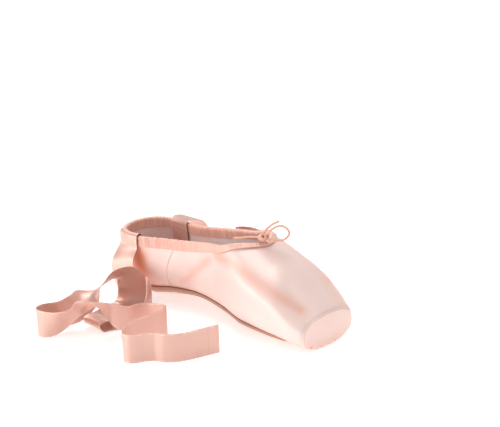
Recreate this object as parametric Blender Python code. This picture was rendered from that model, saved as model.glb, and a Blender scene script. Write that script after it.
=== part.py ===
"""A satin pointe shoe with its sewn ribbons and tied drawstring, standing empty on its sole.

Metres, +Z up, +X from the heel to the platform, +Y to the side with the far ribbon.
The heel's back is at X 0 and the ground is at Z 0 while building; the last lines move
everything so that the origin is at the centre of the shoe's footprint on the ground.
"""

import math

import bmesh
import bpy
import numpy as np

for item in list(bpy.data.objects):
    bpy.data.objects.remove(item, do_unlink=True)

# Driving sizes of the last, in metres.
SHOE_LENGTH = 0.238
BALL_WIDTH = 0.076
WAIST_WIDTH = 0.045
HEEL_WIDTH = 0.057
PLATFORM_WIDTH = 0.061
PLATFORM_HEIGHT = 0.030
PLATFORM_EDGE = 0.0024
PLATFORM_BULGE = 0.0006
THROAT_HEIGHT = 0.0748
HEEL_HEIGHT = 0.058
SIDE_HEIGHT = 0.0600
ARCH_RISE = 0.0090
TOE_SPRING = -0.0022
HEEL_BACK_LEAN = 0.0015
HEEL_FLOOR_ROUND = 0.0120
THROAT_SHARE = 0.710
THROAT_RUN = 0.10
THROAT_DROP = 0.0120
HEEL_ROUND_SHARE = 0.115

# Material thicknesses and clearances.
GAP = 0.0003
QUARTER_WALL = 0.0018
BOX_WALL = 0.0030
PLATFORM_WALL = 0.0042
SOLE_THICKNESS = 0.0030
SOLE_FLAT_RISE = 0.0012
SOLE_EDGE_THINNING = 0.0012
INSOLE_THICKNESS = 0.0015
BINDING_THICKNESS = 0.0006
BINDING_DEPTH = 0.0080
BINDING_ROLL = 0.0016
THROAT_EASE = 0.0004
INSOLE_EASE = 0.0007
CORD_DIAMETER = 0.0020
RIBBON_WIDTH = 0.0250
RIBBON_THICKNESS = 0.0005

# Shape of each cross-section, as the power of a rounded box.
UPPER_POWER = 2.6
LOWER_POWER = 2.3
WIDEST_SHARE = 0.48

BASE = SOLE_THICKNESS + GAP

# Share of the length, half width, underside height and crown height of the last's sections.
LAST_COLUMNS = ("share", "half_width", "underside", "crown")
CROWN_TOE = BASE + TOE_SPRING + PLATFORM_HEIGHT
CROWN_RUN = THROAT_HEIGHT - CROWN_TOE
LAST_ROWS = (
    (0.00, HEEL_WIDTH * 0.485, BASE + 0.0008, CROWN_TOE + CROWN_RUN * 1.92),
    (0.05, HEEL_WIDTH * 0.500, BASE, CROWN_TOE + CROWN_RUN * 1.89),
    (0.14, HEEL_WIDTH * 0.495, BASE, CROWN_TOE + CROWN_RUN * 1.84),
    (0.27, WAIST_WIDTH * 0.505, BASE + ARCH_RISE * 0.60, CROWN_TOE + CROWN_RUN * 1.75),
    (0.40, WAIST_WIDTH * 0.515, BASE + ARCH_RISE, CROWN_TOE + CROWN_RUN * 1.60),
    (0.55, BALL_WIDTH * 0.335, BASE + ARCH_RISE * 0.45, CROWN_TOE + CROWN_RUN * 1.36),
    (0.66, BALL_WIDTH * 0.440, BASE, CROWN_TOE + CROWN_RUN * 1.13),
    (0.71, BALL_WIDTH * 0.476, BASE, CROWN_TOE + CROWN_RUN * 1.00),
    (0.78, BALL_WIDTH * 0.500, BASE, CROWN_TOE + CROWN_RUN * 0.82),
    (0.86, BALL_WIDTH * 0.498, BASE + TOE_SPRING * 0.10, CROWN_TOE + CROWN_RUN * 0.62),
    (0.93, BALL_WIDTH * 0.474, BASE + TOE_SPRING * 0.40, CROWN_TOE + CROWN_RUN * 0.30),
    (1.00, PLATFORM_WIDTH * 0.500, BASE + TOE_SPRING, CROWN_TOE),
)

# Height of the collar's edge along the opening.
COLLAR_COLUMNS = ("share", "height")
COLLAR_RISE = THROAT_HEIGHT - SIDE_HEIGHT
COLLAR_ROWS = (
    (0.00, HEEL_HEIGHT - 0.0005),
    (0.10, HEEL_HEIGHT - 0.0013),
    (0.20, HEEL_HEIGHT),
    (0.28, SIDE_HEIGHT),
    (0.40, SIDE_HEIGHT + COLLAR_RISE * 0.30),
    (0.50, SIDE_HEIGHT + COLLAR_RISE * 0.57),
    (0.60, SIDE_HEIGHT + COLLAR_RISE * 0.85),
    (THROAT_SHARE, THROAT_HEIGHT),
)

# Half width of the outsole and of the opening under the upper that it closes.
SOLE_COLUMNS = ("share", "half_width")
SOLE_START, SOLE_END = 0.040, 0.885
SOLE_ROWS = (
    (0.04, HEEL_WIDTH * 0.298),
    (0.12, HEEL_WIDTH * 0.307),
    (0.28, WAIST_WIDTH * 0.311),
    (0.42, WAIST_WIDTH * 0.278),
    (0.56, BALL_WIDTH * 0.224),
    (0.70, BALL_WIDTH * 0.296),
    (0.80, BALL_WIDTH * 0.296),
    (0.885, BALL_WIDTH * 0.270),
)
LASTING_MARGIN = 0.0070
WINDOW_START, WINDOW_END = 0.085, 0.825
INSOLE_START, INSOLE_END = 0.030, 0.900
INSOLE_SHARE = 0.74

# Counts of sections and of points round each half section.
HALF_ROWS = 17
NODES = []


def smooth_value(table, column, share):
    """Read a table's column at a share, through all its rows without corners."""
    places = [row[0] for row in table]
    values = [row[column] for row in table]
    share = min(max(share, places[0]), places[-1])
    k = 0
    while k < len(places) - 2 and share > places[k + 1]:
        k += 1
    steps = [places[i + 1] - places[i] for i in range(len(places) - 1)]
    rates = [(values[i + 1] - values[i]) / steps[i] for i in range(len(steps))]

    def slope(i):
        if i == 0:
            return rates[0]
        if i == len(places) - 1:
            return rates[-1]
        return (steps[i] * rates[i - 1] + steps[i - 1] * rates[i]) / (steps[i - 1] + steps[i])

    h = steps[k]
    t = (share - places[k]) / h
    first = (1 + 2 * t) * (1 - t) ** 2 * values[k] + t * (1 - t) ** 2 * h * slope(k)
    last = t * t * (3 - 2 * t) * values[k + 1] + t * t * (t - 1) * h * slope(k + 1)
    return first + last


def soft_step(low, high, value):
    t = min(max((value - low) / (high - low), 0.0), 1.0)
    return t * t * (3 - 2 * t)


ROUND_RUN = HEEL_ROUND_SHARE * math.pi / 2
ROUND_PART = ROUND_RUN / (ROUND_RUN + 1 - HEEL_ROUND_SHARE)


def share_of(run):
    """Turn the even run from heel back to toe into a share of the length."""
    if run < ROUND_PART:
        return HEEL_ROUND_SHARE * (1 - math.cos(max(run, 0.0) / ROUND_PART * math.pi / 2))
    return HEEL_ROUND_SHARE + (run - ROUND_PART) * (1 - HEEL_ROUND_SHARE) / (1 - ROUND_PART)


def run_of(share):
    if share < HEEL_ROUND_SHARE:
        return ROUND_PART * math.acos(1 - share / HEEL_ROUND_SHARE) * 2 / math.pi
    return ROUND_PART + (share - HEEL_ROUND_SHARE) * (1 - ROUND_PART) / (1 - HEEL_ROUND_SHARE)


def last_section(run):
    """Half width, underside, crown and widest height of the last at a run."""
    share = share_of(run)
    half = smooth_value(LAST_ROWS, 1, share)
    low = smooth_value(LAST_ROWS, 2, share)
    crown = smooth_value(LAST_ROWS, 3, share)
    if share < HEEL_ROUND_SHARE:
        half *= math.sqrt(max(1 - (1 - share / HEEL_ROUND_SHARE) ** 2.2, 0.0))
        turn = max(1 - share * SHOE_LENGTH / HEEL_FLOOR_ROUND, 0.0)
        low += HEEL_FLOOR_ROUND * 0.9 * (1 - math.sqrt(1 - turn * turn))
    widest = low + (min(crown, THROAT_HEIGHT) - low) * WIDEST_SHARE
    return half, low, crown, widest


def last_point(run, angle, inset=0.0, reach=None):
    """A point of the last's surface; angle runs from underside -90 to crown 90 degrees."""
    sign = -1.0 if run < 0 else 1.0
    run = abs(run)
    half, low, crown, widest = last_section(min(run, 1.0))
    half = half - inset
    low = low + inset
    crown = crown - inset
    across = math.cos(angle)
    rise = math.sin(angle)
    power = UPPER_POWER if rise >= 0 else LOWER_POWER
    y = half * math.copysign(abs(across) ** (2 / power), across) * sign
    height = (crown - widest) if rise >= 0 else (widest - low)
    z = widest + height * math.copysign(abs(rise) ** (2 / power), rise)
    x = share_of(min(run, 1.0)) * SHOE_LENGTH if reach is None else reach
    heel = max(1 - x / (HEEL_ROUND_SHARE * SHOE_LENGTH), 0.0)
    lean = (z - HEEL_HEIGHT * 0.4) / HEEL_HEIGHT
    x += HEEL_BACK_LEAN * 2.0 * heel * lean * abs(lean)
    return np.array((x, y, z))


def last_normal(run, angle):
    """Outward direction of the last's surface."""
    step = 0.0015
    along = last_point(run + step, angle) - last_point(run - step, angle)
    if run + step > 1.0:
        along = last_point(1.0, angle) - last_point(1.0 - 2 * step, angle)
    round_it = last_point(run, angle + step) - last_point(run, angle - step)
    normal = np.cross(round_it, along)
    return normal / np.linalg.norm(normal)


def angle_at_height(run, height):
    half, low, crown, widest = last_section(run)
    rise = min(max((height - widest) / (crown - widest), 0.0), 1.0)
    return math.asin(rise ** (UPPER_POWER / 2))


def angle_at_width(run, width):
    """Angle on the underside where the section is this wide from the middle."""
    half = max(last_section(run)[0], 1e-6)
    return -math.acos(min(max(width / half, 0.0), 1.0) ** (LOWER_POWER / 2))


def collar_angle(run):
    share = share_of(run)
    if share >= THROAT_SHARE - 1e-9:
        return math.pi / 2
    height = smooth_value(COLLAR_ROWS, 1, share)
    fall = THROAT_DROP * ((THROAT_SHARE - share) / THROAT_RUN) ** 1.5
    round_throat = last_section(run)[2] - fall
    part = soft_step(THROAT_SHARE - 0.20, THROAT_SHARE - 0.05, share)
    return angle_at_height(run, height * (1 - part) + round_throat * part)


def rounded_outline(share, start, end, half, round_share):
    """Half width of an outline with round ends."""
    if share <= start or share >= end:
        return 0.0
    near = min((share - start) / round_share, (end - share) / round_share, 1.0)
    return half * math.sqrt(1 - (1 - near) ** 2)


def sole_half(share):
    half = smooth_value(SOLE_ROWS, 1, share)
    return rounded_outline(share, SOLE_START, SOLE_END, half, half / SHOE_LENGTH)


def window_half(share):
    half = smooth_value(SOLE_ROWS, 1, share) - LASTING_MARGIN
    return rounded_outline(share, WINDOW_START, WINDOW_END, half, half / SHOE_LENGTH)


def insole_half(share):
    half = last_section(run_of(share))[0] * INSOLE_SHARE
    return rounded_outline(share, INSOLE_START, INSOLE_END, half, 0.07)


def wall_at(share):
    return QUARTER_WALL + (BOX_WALL - QUARTER_WALL) * soft_step(0.66, 0.88, share)


def row_angles(run, count):
    """Angles from the open underside to the collar, evenly spaced along the surface."""
    share = share_of(run)
    first = angle_at_width(run, window_half(share)) if window_half(share) > 0 else -math.pi / 2
    last = collar_angle(run)
    fine = [first + (last - first) * k / 160 for k in range(161)]
    points = [last_point(max(run, 0.004), a)[1:] for a in fine]
    lengths = [0.0]
    for k in range(160):
        lengths.append(lengths[-1] + float(np.linalg.norm(points[k + 1] - points[k])))
    wanted = [lengths[-1] * k / (count - 1) for k in range(count)]
    return [float(a) for a in np.interp(wanted, lengths, fine)]


def make_material(name, colour, roughness, metallic=0.0):
    material = bpy.data.materials.new(name)
    material.use_nodes = True
    shader = material.node_tree.nodes["Principled BSDF"]
    shader.inputs["Base Color"].default_value = (*colour, 1.0)
    shader.inputs["Roughness"].default_value = roughness
    shader.inputs["Metallic"].default_value = metallic
    material.diffuse_color = (*colour, 1.0)
    return material


def make_body(name, points, faces, colour, roughness, smooth=True):
    """One closed body from points and faces, its shared corners joined."""
    mesh = bpy.data.meshes.new(name)
    mesh.from_pydata([tuple(float(c) for c in p) for p in points], [], faces)
    body = bpy.data.objects.new(name, mesh)
    bpy.context.scene.collection.objects.link(body)
    mesh.materials.append(make_material(name, colour, roughness))
    work = bmesh.new()
    work.from_mesh(mesh)
    bmesh.ops.remove_doubles(work, verts=work.verts, dist=0.00001)
    bmesh.ops.dissolve_degenerate(work, edges=work.edges, dist=0.000005)
    bmesh.ops.recalc_face_normals(work, faces=work.faces)
    work.to_mesh(mesh)
    work.free()
    for face in mesh.polygons:
        face.use_smooth = smooth
    NODES.append(body)
    return body


def mirrored(point):
    return np.array((point[0], -point[1], point[2]))


class Sheet:
    """Collects grids of points and their faces for one body."""

    def __init__(self):
        self.points = []
        self.faces = []

    def grid(self, columns, flip=False, wrap=False, cuts=None):
        """Faces between neighbouring columns; cuts says which way each row's faces are split."""
        index = []
        for column in columns:
            start = len(self.points)
            self.points.extend(column)
            index.append(range(start, start + len(column)))
        rows = len(columns[0])
        last = rows if wrap else rows - 1
        for one, two in zip(index, index[1:]):
            for j in range(last):
                a, b, c, d = one[j], two[j], two[(j + 1) % rows], one[(j + 1) % rows]
                made = [[a, b, c, d]]
                if cuts is not None:
                    made = [[a, b, d], [b, c, d]] if cuts[j] else [[a, b, c], [a, c, d]]
                for face in made:
                    if flip:
                        face.reverse()
                    self.faces.append(face)
        return index


# The upper: one wall from the open underside over the sides to the collar.
def shared_runs():
    """Sections that the wall's outside and inside share, up to the end of the window."""
    throat = run_of(THROAT_SHARE)
    cluster = run_of(THROAT_SHARE - 0.13)
    window_end = run_of(WINDOW_END)
    runs = [ROUND_PART * k / 7 for k in range(8)]
    runs += [ROUND_PART + (cluster - ROUND_PART) * k / 9 for k in range(1, 10)]
    runs += [throat - (throat - cluster) * (1 - k / 7) ** 2 for k in range(1, 8)]
    runs += [throat + (window_end - throat) * (1 - (1 - k / 5) ** 1.5) for k in range(1, 6)]
    return runs


def build_upper():
    sheet = Sheet()
    edge_run = run_of(1 - PLATFORM_EDGE / SHOE_LENGTH)
    throat = run_of(THROAT_SHARE)
    shared = shared_runs()
    window_end = run_of(WINDOW_END)
    stop = run_of(1 - (PLATFORM_WALL + PLATFORM_EDGE) / SHOE_LENGTH)
    outer_runs = shared + [window_end + (edge_run - window_end) * k / 6 for k in range(1, 7)]
    inner_runs = shared + [window_end + (stop - window_end) * k / 5 for k in range(1, 6)]
    outer = []
    inner = []
    for run in outer_runs:
        outer.append([last_point(run, a) for a in row_angles(run, HALF_ROWS)])
    for run in inner_runs:
        wall = wall_at(share_of(run))
        column = []
        for angle in row_angles(run, HALF_ROWS):
            column.append(last_point(run, angle) - wall * last_normal(max(run, 0.002), angle))
        if run == 0.0:
            column = [np.array((p[0], 0.0, p[2])) for p in column]
        inner.append(column)
    # The platform's rounded edge and its flat face, outside and inside.
    angles = row_angles(1.0, HALF_ROWS)
    for turn in (30, 60, 90):
        inset = PLATFORM_EDGE * (1 - math.cos(math.radians(turn)))
        reach = SHOE_LENGTH - PLATFORM_EDGE * (1 - math.sin(math.radians(turn)))
        outer.append([last_point(1.0, a, inset, reach) for a in angles])
    hollow = 0.0020
    for turn in (0, 45, 90):
        inset = BOX_WALL + hollow * (1 - math.cos(math.radians(turn)))
        reach = SHOE_LENGTH - PLATFORM_WALL - hollow * (1 - math.sin(math.radians(turn)))
        inner.append([last_point(1.0, a, inset, reach) for a in angles])
    for columns, bulge in ((outer, PLATFORM_BULGE), (inner, 0.0)):
        rim = columns[-1]
        middle = (rim[0] + rim[-1]) / 2
        middle[1] = 0.0
        for scale in (0.72, 0.38):
            lift = np.array((bulge * (1 - scale ** 2), 0.0, 0.0))
            columns.append([middle + (p - middle) * scale + lift for p in rim])
        columns.append([middle + np.array((bulge, 0.0, 0.0)) for p in rim])
    for side in (1, -1):
        for columns, inward in ((outer, False), (inner, True)):
            used = [[p if side > 0 else mirrored(p) for p in column] for column in columns]
            sheet.grid(used, flip=(side < 0) != inward)
        # The two edges that join outside and inside: the collar and the open underside.
        rims = []
        for k in range(shared.index(throat) + 1):
            pair = [outer[k][-1], inner[k][-1]]
            rims.append([p if side > 0 else mirrored(p) for p in pair])
        sheet.grid(rims, flip=side > 0)
        open_at = [window_half(share_of(run)) > 0 for run in shared]
        first = open_at.index(True) - 1
        feet = []
        for k in range(first, len(shared)):
            pair = [inner[k][0], outer[k][0]]
            feet.append([p if side > 0 else mirrored(p) for p in pair])
        sheet.grid(feet, flip=side > 0)
    return sheet


UPPER = build_upper()
make_body("upper", UPPER.points, UPPER.faces, (0.86, 0.60, 0.50), 0.34)


def underside(share, width, lift):
    """Height of the upper's underside, or of the wall above it, off the middle line."""
    run = run_of(share)
    angle = angle_at_width(run, abs(width))
    point = last_point(run, angle)
    slope = max(abs(last_normal(run, angle)[2]), 0.45)
    return float(point[2]) + lift / slope


def build_slab(shares, half_at, top_at, bottom_at, rows):
    """A thin closed slab between two surfaces inside an outline with pointed ends."""
    sheet = Sheet()
    tops = []
    bottoms = []
    for share in shares:
        half = half_at(share)
        across = [half * (2 * j / (rows - 1) - 1) for j in range(rows)]
        x = share * SHOE_LENGTH
        tops.append([np.array((x, y, top_at(share, y))) for y in across])
        bottoms.append([np.array((x, y, bottom_at(share, y))) for y in across])
    sheet.grid(tops)
    sheet.grid(bottoms, flip=True)
    sheet.grid([[t[0], b[0]] for t, b in zip(tops, bottoms)])
    sheet.grid([[t[-1], b[-1]] for t, b in zip(tops, bottoms)], flip=True)
    for end, flip in ((0, True), (-1, False)):
        sheet.grid([tops[end], bottoms[end]], flip=flip)
    return sheet


def end_crowded(start, end, count, tight):
    """Shares from start to end, set closer together within a run of each round end."""
    shares = []
    for k in range(6):
        shares.append(start + tight * (1 - math.cos((k + 0.35) / 6.35 * math.pi / 2)))
    middle = end - start - 2 * tight
    shares += [start + tight + middle * k / count for k in range(count + 1)]
    shares += [start + end - s for s in reversed(shares[:6])]
    return shares


def sole_top(share, y):
    return underside(share, y, 0.0) - GAP * 1.6


def sole_bottom(share, y):
    """Flat on the ground at heel and ball, raised in the arch, thinned at its edge."""
    flat = smooth_value(LAST_ROWS, 2, min(share, 0.80)) - BASE
    flat = flat if flat > ARCH_RISE * 0.067 else 0.0
    edge = abs(y) / max(smooth_value(SOLE_ROWS, 1, share), 1e-6)
    rise = sole_top(share, y) - sole_top(share, 0.0)
    lift = max(rise - SOLE_FLAT_RISE, 0.0) * 0.9
    return flat + lift + SOLE_EDGE_THINNING * soft_step(0.70, 1.0, edge)


SOLE = build_slab(
    end_crowded(SOLE_START, SOLE_END, 22, 0.075), sole_half, sole_top, sole_bottom, 11
)
make_body("outsole", SOLE.points, SOLE.faces, (0.62, 0.45, 0.33), 0.75)


def insole_bottom(share, y):
    return underside(share, y, wall_at(share) + GAP + INSOLE_EASE)


def insole_top(share, y):
    return insole_bottom(share, y) + INSOLE_THICKNESS


INSOLE = build_slab(
    end_crowded(INSOLE_START, INSOLE_END, 16, 0.07), insole_half, insole_top, insole_bottom, 9
)
make_body("insole", INSOLE.points, INSOLE.faces, (0.72, 0.66, 0.60), 0.85)


# The binding: a folded strip over the collar's edge with the drawstring's roll on top.
def surface_walk(run, angle, heading, distance, steps=4):
    """Walk over the last's surface, always heading the same way in space."""
    for _ in range(steps):
        h = 0.0008
        along = (last_point(run + h, angle) - last_point(run - h, angle)) / (2 * h)
        around = (last_point(run, angle + h) - last_point(run, angle - h)) / (2 * h)
        normal = np.cross(along, around)
        normal /= np.linalg.norm(normal)
        flat = heading - normal * float(heading @ normal)
        flat /= np.linalg.norm(flat)
        grid = np.stack((along, around), axis=1)
        move = np.linalg.lstsq(grid, flat * distance / steps, rcond=None)[0]
        run += float(move[0])
        angle += float(move[1])
    return run, angle


def rim_runs():
    runs = shared_runs()
    return runs[:runs.index(run_of(THROAT_SHARE)) + 1]


def rim_frames():
    """Points, outward and downward directions round the whole collar, near side first."""
    runs = rim_runs()
    half = [last_point(run, collar_angle(run)) for run in runs]
    frames = []
    for k, run in enumerate(runs):
        before = half[k - 1] if k > 0 else mirrored(half[1])
        after = half[k + 1] if k + 1 < len(half) else mirrored(half[k - 1])
        tangent = after - before
        tangent /= np.linalg.norm(tangent)
        angle = min(collar_angle(run), math.pi / 2 - 0.0005)
        out = last_normal(max(run, 0.002), angle)
        if run == 0.0:
            out[1] = 0.0
        if k == len(runs) - 1:
            out[1] = 0.0
        out /= np.linalg.norm(out)
        down = np.cross(out, tangent)
        down /= np.linalg.norm(down)
        frames.append((run, angle, half[k], out, down))
    return frames


def binding_section(run, angle, rim, out, down):
    """Closed outline of the folded strip at one place of the collar."""
    wall = wall_at(share_of(run))
    depths = (BINDING_DEPTH, BINDING_DEPTH * 0.5, 0.0015)
    rows = []
    for depth in depths:
        there = surface_walk(run, angle, down, depth)
        place = last_point(*there)
        normal = last_normal(max(there[0], 0.002), there[1])
        if run == 0.0:
            place[1] = 0.0
            normal[1] = 0.0
            normal /= np.linalg.norm(normal)
        rows.append((place, normal))
    near = GAP + THROAT_EASE * soft_step(0.54, 0.62, share_of(run))
    far = near + BINDING_THICKNESS
    line = [place + normal * far for place, normal in rows]
    line.append(rim + out * (far + 0.0005) - down * 0.0010)
    line.append(rim - out * (wall / 2) - down * (near + BINDING_ROLL))
    line.append(rim - out * (wall + far + 0.0003) - down * 0.0008)
    line += [place - normal * (wall + far) for place, normal in reversed(rows)]
    line += [place - normal * (wall + near) for place, normal in rows]
    line.append(rim - out * (wall + near) - down * near)
    line.append(rim + out * near - down * near)
    line += [place + normal * near for place, normal in reversed(rows)]
    return line


def build_binding():
    columns = [binding_section(*frame) for frame in rim_frames()]
    other = [[mirrored(p) for p in column] for column in columns[1:-1]]
    loop = columns + list(reversed(other))
    sheet = Sheet()
    sheet.grid(loop + [loop[0]], wrap=True)
    return sheet


BINDING = build_binding()
make_body("collar_binding", BINDING.points, BINDING.faces, (0.88, 0.62, 0.51), 0.40)


# The ribbons. Each row of an attached table is a depth below the collar's edge and a distance
# out from the wall's outer face, negative inside. Each row of a loose table is a place of the
# ribbon's middle line and the direction across the ribbon, both read from the photo's lie.
ATTACHED_COLUMNS = ("depth", "outward")
ATTACHED_ROWS = (
    (0.022, -0.0034),
    (0.013, -0.0036),
    (0.008, -0.0039),
    (0.002, -0.0041),
    (-0.0018, -0.0043),
    (-0.0040, -0.0012),
    (-0.0028, 0.0024),
    (0.002, 0.0031),
    (0.009, 0.0030),
)
LOOSE_COLUMNS = ("x", "y", "z", "across_x", "across_y", "across_z")
NEAR_SHARE = 0.105
NEAR_ROWS = (
    (0.0265, -0.0385, 0.0370, 0.97, 0.12, 0.0),
    (0.0290, -0.0405, 0.0265, 0.95, 0.22, 0.05),
    (0.0345, -0.0395, 0.0168, 0.68, 0.34, 0.60),
    (0.0430, -0.0355, 0.0129, 0.34, 0.14, 0.92),
    (0.0535, -0.0345, 0.0130, 0.20, 0.0, 0.98),
    (0.0625, -0.0430, 0.0118, 0.42, 0.10, 0.90),
    (0.0680, -0.0560, 0.0050, 0.93, 0.12, 0.34),
    (0.0690, -0.0720, 0.0014, 1.0, 0.0, 0.04),
    (0.0665, -0.0860, 0.0012, 0.99, -0.14, 0.03),
    (0.0640, -0.0960, 0.0018, 0.99, -0.16, 0.03),
    (0.0626, -0.1028, 0.0030, 0.99, -0.16, 0.0),
    (0.0616, -0.1056, 0.0062, 0.99, -0.16, 0.0),
    (0.0608, -0.1030, 0.0096, 0.99, -0.18, 0.0),
    (0.0594, -0.0950, 0.0090, 0.98, -0.20, 0.0),
    (0.0558, -0.0860, 0.0064, 0.97, -0.24, 0.02),
    (0.0490, -0.0750, 0.0046, 0.98, -0.20, 0.02),
    (0.0455, -0.0640, 0.0036, 0.99, -0.02, 0.02),
    (0.0445, -0.0540, 0.0034, 0.96, 0.28, 0.0),
    (0.0450, -0.0470, 0.0095, 0.66, 0.75, 0.0),
    (0.0455, -0.0455, 0.0190, 0.56, 0.83, 0.0),
    (0.0458, -0.0468, 0.0262, 0.66, 0.74, 0.06),
    (0.0445, -0.0525, 0.0335, 0.76, 0.34, 0.40),
    (0.0412, -0.0608, 0.0335, 0.66, -0.24, 0.62),
    (0.0378, -0.0680, 0.0290, 0.64, -0.50, 0.46),
    (0.0350, -0.0770, 0.0235, 0.70, -0.62, 0.20),
    (0.0345, -0.0880, 0.0190, 0.70, -0.46, -0.44),
    (0.0365, -0.1030, 0.0142, 0.32, -0.14, -0.93),
    (0.0348, -0.1185, 0.0129, 0.0, 0.0, -1.0),
    (0.0290, -0.1350, 0.0129, 0.0, 0.0, -1.0),
    (0.0330, -0.1425, 0.0129, 0.0, 0.0, -1.0),
    (0.0410, -0.1420, 0.0128, -0.08, 0.06, -0.99),
    (0.0475, -0.1345, 0.0124, -0.24, 0.20, -0.94),
    (0.0490, -0.1245, 0.0138, -0.42, 0.36, -0.83),
    (0.0525, -0.1150, 0.0185, -0.54, 0.42, -0.72),
    (0.0610, -0.1105, 0.0262, -0.46, 0.62, -0.62),
    (0.0715, -0.1085, 0.0275, -0.50, 0.62, -0.58),
    (0.0800, -0.1015, 0.0240, -0.52, 0.36, -0.76),
    (0.0850, -0.0910, 0.0145, -0.20, 0.14, -0.97),
    (0.0925, -0.0785, 0.0129, 0.0, 0.0, -1.0),
    (0.1010, -0.0705, 0.0129, 0.0, 0.0, -1.0),
    (0.1100, -0.0665, 0.0129, 0.0, 0.0, -1.0),
    (0.1165, -0.0690, 0.0129, 0.0, 0.0, -1.0),
    (0.1180, -0.0780, 0.0129, 0.0, 0.0, -1.0),
    (0.1168, -0.0920, 0.0129, 0.0, 0.0, -1.0),
    (0.1170, -0.1070, 0.0129, 0.0, 0.0, -1.0),
    (0.1210, -0.1195, 0.0129, 0.0, 0.0, -1.0),
    (0.1270, -0.1275, 0.0129, 0.0, 0.0, -1.0),
    (0.1335, -0.1300, 0.0129, 0.0, 0.0, -1.0),
    (0.1395, -0.1260, 0.0129, 0.0, 0.0, -1.0),
    (0.1435, -0.1180, 0.0129, 0.0, 0.0, -1.0),
    (0.1485, -0.1125, 0.0129, 0.0, 0.0, -1.0),
    (0.1560, -0.1095, 0.0129, 0.0, 0.0, -1.0),
    (0.1635, -0.1030, 0.0129, 0.0, 0.0, -1.0),
    (0.1690, -0.0920, 0.0129, 0.0, 0.0, -1.0),
    (0.1730, -0.0800, 0.0129, 0.0, 0.0, -1.0),
    (0.1770, -0.0665, 0.0129, 0.0, 0.0, -1.0),
)
FAR_SHARE = 0.155
FAR_ROWS = (
    (0.0372, 0.0325, 0.0605, 1.0, 0.0, 0.0),
    (0.0378, 0.0385, 0.0590, 1.0, 0.0, 0.0),
    (0.0384, 0.0435, 0.0540, 1.0, 0.0, 0.0),
    (0.0388, 0.0465, 0.0470, 1.0, 0.0, 0.0),
    (0.0390, 0.0485, 0.0380, 1.0, 0.0, 0.05),
    (0.0405, 0.0500, 0.0290, 0.96, 0.0, 0.25),
    (0.0450, 0.0515, 0.0200, 0.80, 0.0, 0.60),
    (0.0530, 0.0525, 0.0142, 0.35, 0.0, 0.93),
    (0.0640, 0.0530, 0.0129, 0.0, 0.0, 1.0),
    (0.0800, 0.0550, 0.0129, 0.0, 0.0, 1.0),
    (0.0960, 0.0530, 0.0129, 0.0, 0.0, 1.0),
    (0.1110, 0.0555, 0.0129, 0.0, 0.0, 1.0),
    (0.1230, 0.0560, 0.0129, 0.0, 0.0, 1.0),
    (0.1300, 0.0630, 0.0129, 0.0, 0.0, 1.0),
    (0.1220, 0.0700, 0.0129, 0.0, 0.0, 1.0),
    (0.1050, 0.0695, 0.0129, 0.0, 0.0, 1.0),
    (0.0850, 0.0735, 0.0129, 0.0, 0.0, 1.0),
    (0.0640, 0.0710, 0.0129, 0.0, 0.0, 1.0),
    (0.0420, 0.0750, 0.0129, 0.0, 0.0, 1.0),
    (0.0200, 0.0730, 0.0129, 0.0, 0.0, 1.0),
    (0.0060, 0.0745, 0.0129, 0.0, 0.0, 1.0),
    (-0.0010, 0.0815, 0.0129, 0.0, 0.0, 1.0),
    (0.0070, 0.0885, 0.0129, 0.0, 0.0, 1.0),
    (0.0250, 0.0900, 0.0129, 0.0, 0.0, 1.0),
    (0.0450, 0.0870, 0.0129, 0.0, 0.0, 1.0),
    (0.0660, 0.0900, 0.0129, 0.0, 0.0, 1.0),
    (0.0860, 0.0875, 0.0129, 0.0, 0.0, 1.0),
    (0.1010, 0.0890, 0.0129, 0.0, 0.0, 1.0),
    (0.1080, 0.0960, 0.0129, 0.0, 0.0, 1.0),
    (0.1000, 0.1030, 0.0129, 0.0, 0.0, 1.0),
    (0.0820, 0.1050, 0.0129, 0.0, 0.0, 1.0),
    (0.0630, 0.1020, 0.0129, 0.0, 0.0, 1.0),
    (0.0440, 0.1055, 0.0129, 0.0, 0.0, 1.0),
    (0.0270, 0.1050, 0.0129, 0.0, 0.0, 1.0),
    (0.0200, 0.1120, 0.0129, 0.0, 0.0, 1.0),
    (0.0280, 0.1190, 0.0129, 0.0, 0.0, 1.0),
    (0.0440, 0.1195, 0.0129, 0.0, 0.0, 1.0),
    (0.0560, 0.1175, 0.0129, 0.0, 0.0, 1.0),
)
RIBBON_STEP = 0.0075


def attached_rows(side, share, count):
    """Left edge, middle and right edge of the ribbon where it is sewn to the wall."""
    rows = []
    for depth, outward in ATTACHED_ROWS[:count]:
        row = []
        for across in (-0.5, 0.0, 0.5):
            run = run_of(share + across * RIBBON_WIDTH / SHOE_LENGTH)
            edge = last_point(run, collar_angle(run))[2]
            angle = angle_at_height(run, edge - depth)
            place = last_point(run, angle) + last_normal(run, angle) * outward
            row.append(place if side > 0 else mirrored(place))
        rows.append(row)
    return rows


def loose_rows(table):
    rows = []
    for k, row in enumerate(table):
        place = np.array(row[:3])
        before = np.array(table[max(k - 1, 0)][:3])
        after = np.array(table[min(k + 1, len(table) - 1)][:3])
        along = (after - before) / np.linalg.norm(after - before)
        across = np.array(row[3:])
        across = across - along * float(across @ along)
        across *= 0.5 * RIBBON_WIDTH / np.linalg.norm(across)
        rows.append([place - across, place, place + across])
    return rows


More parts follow.
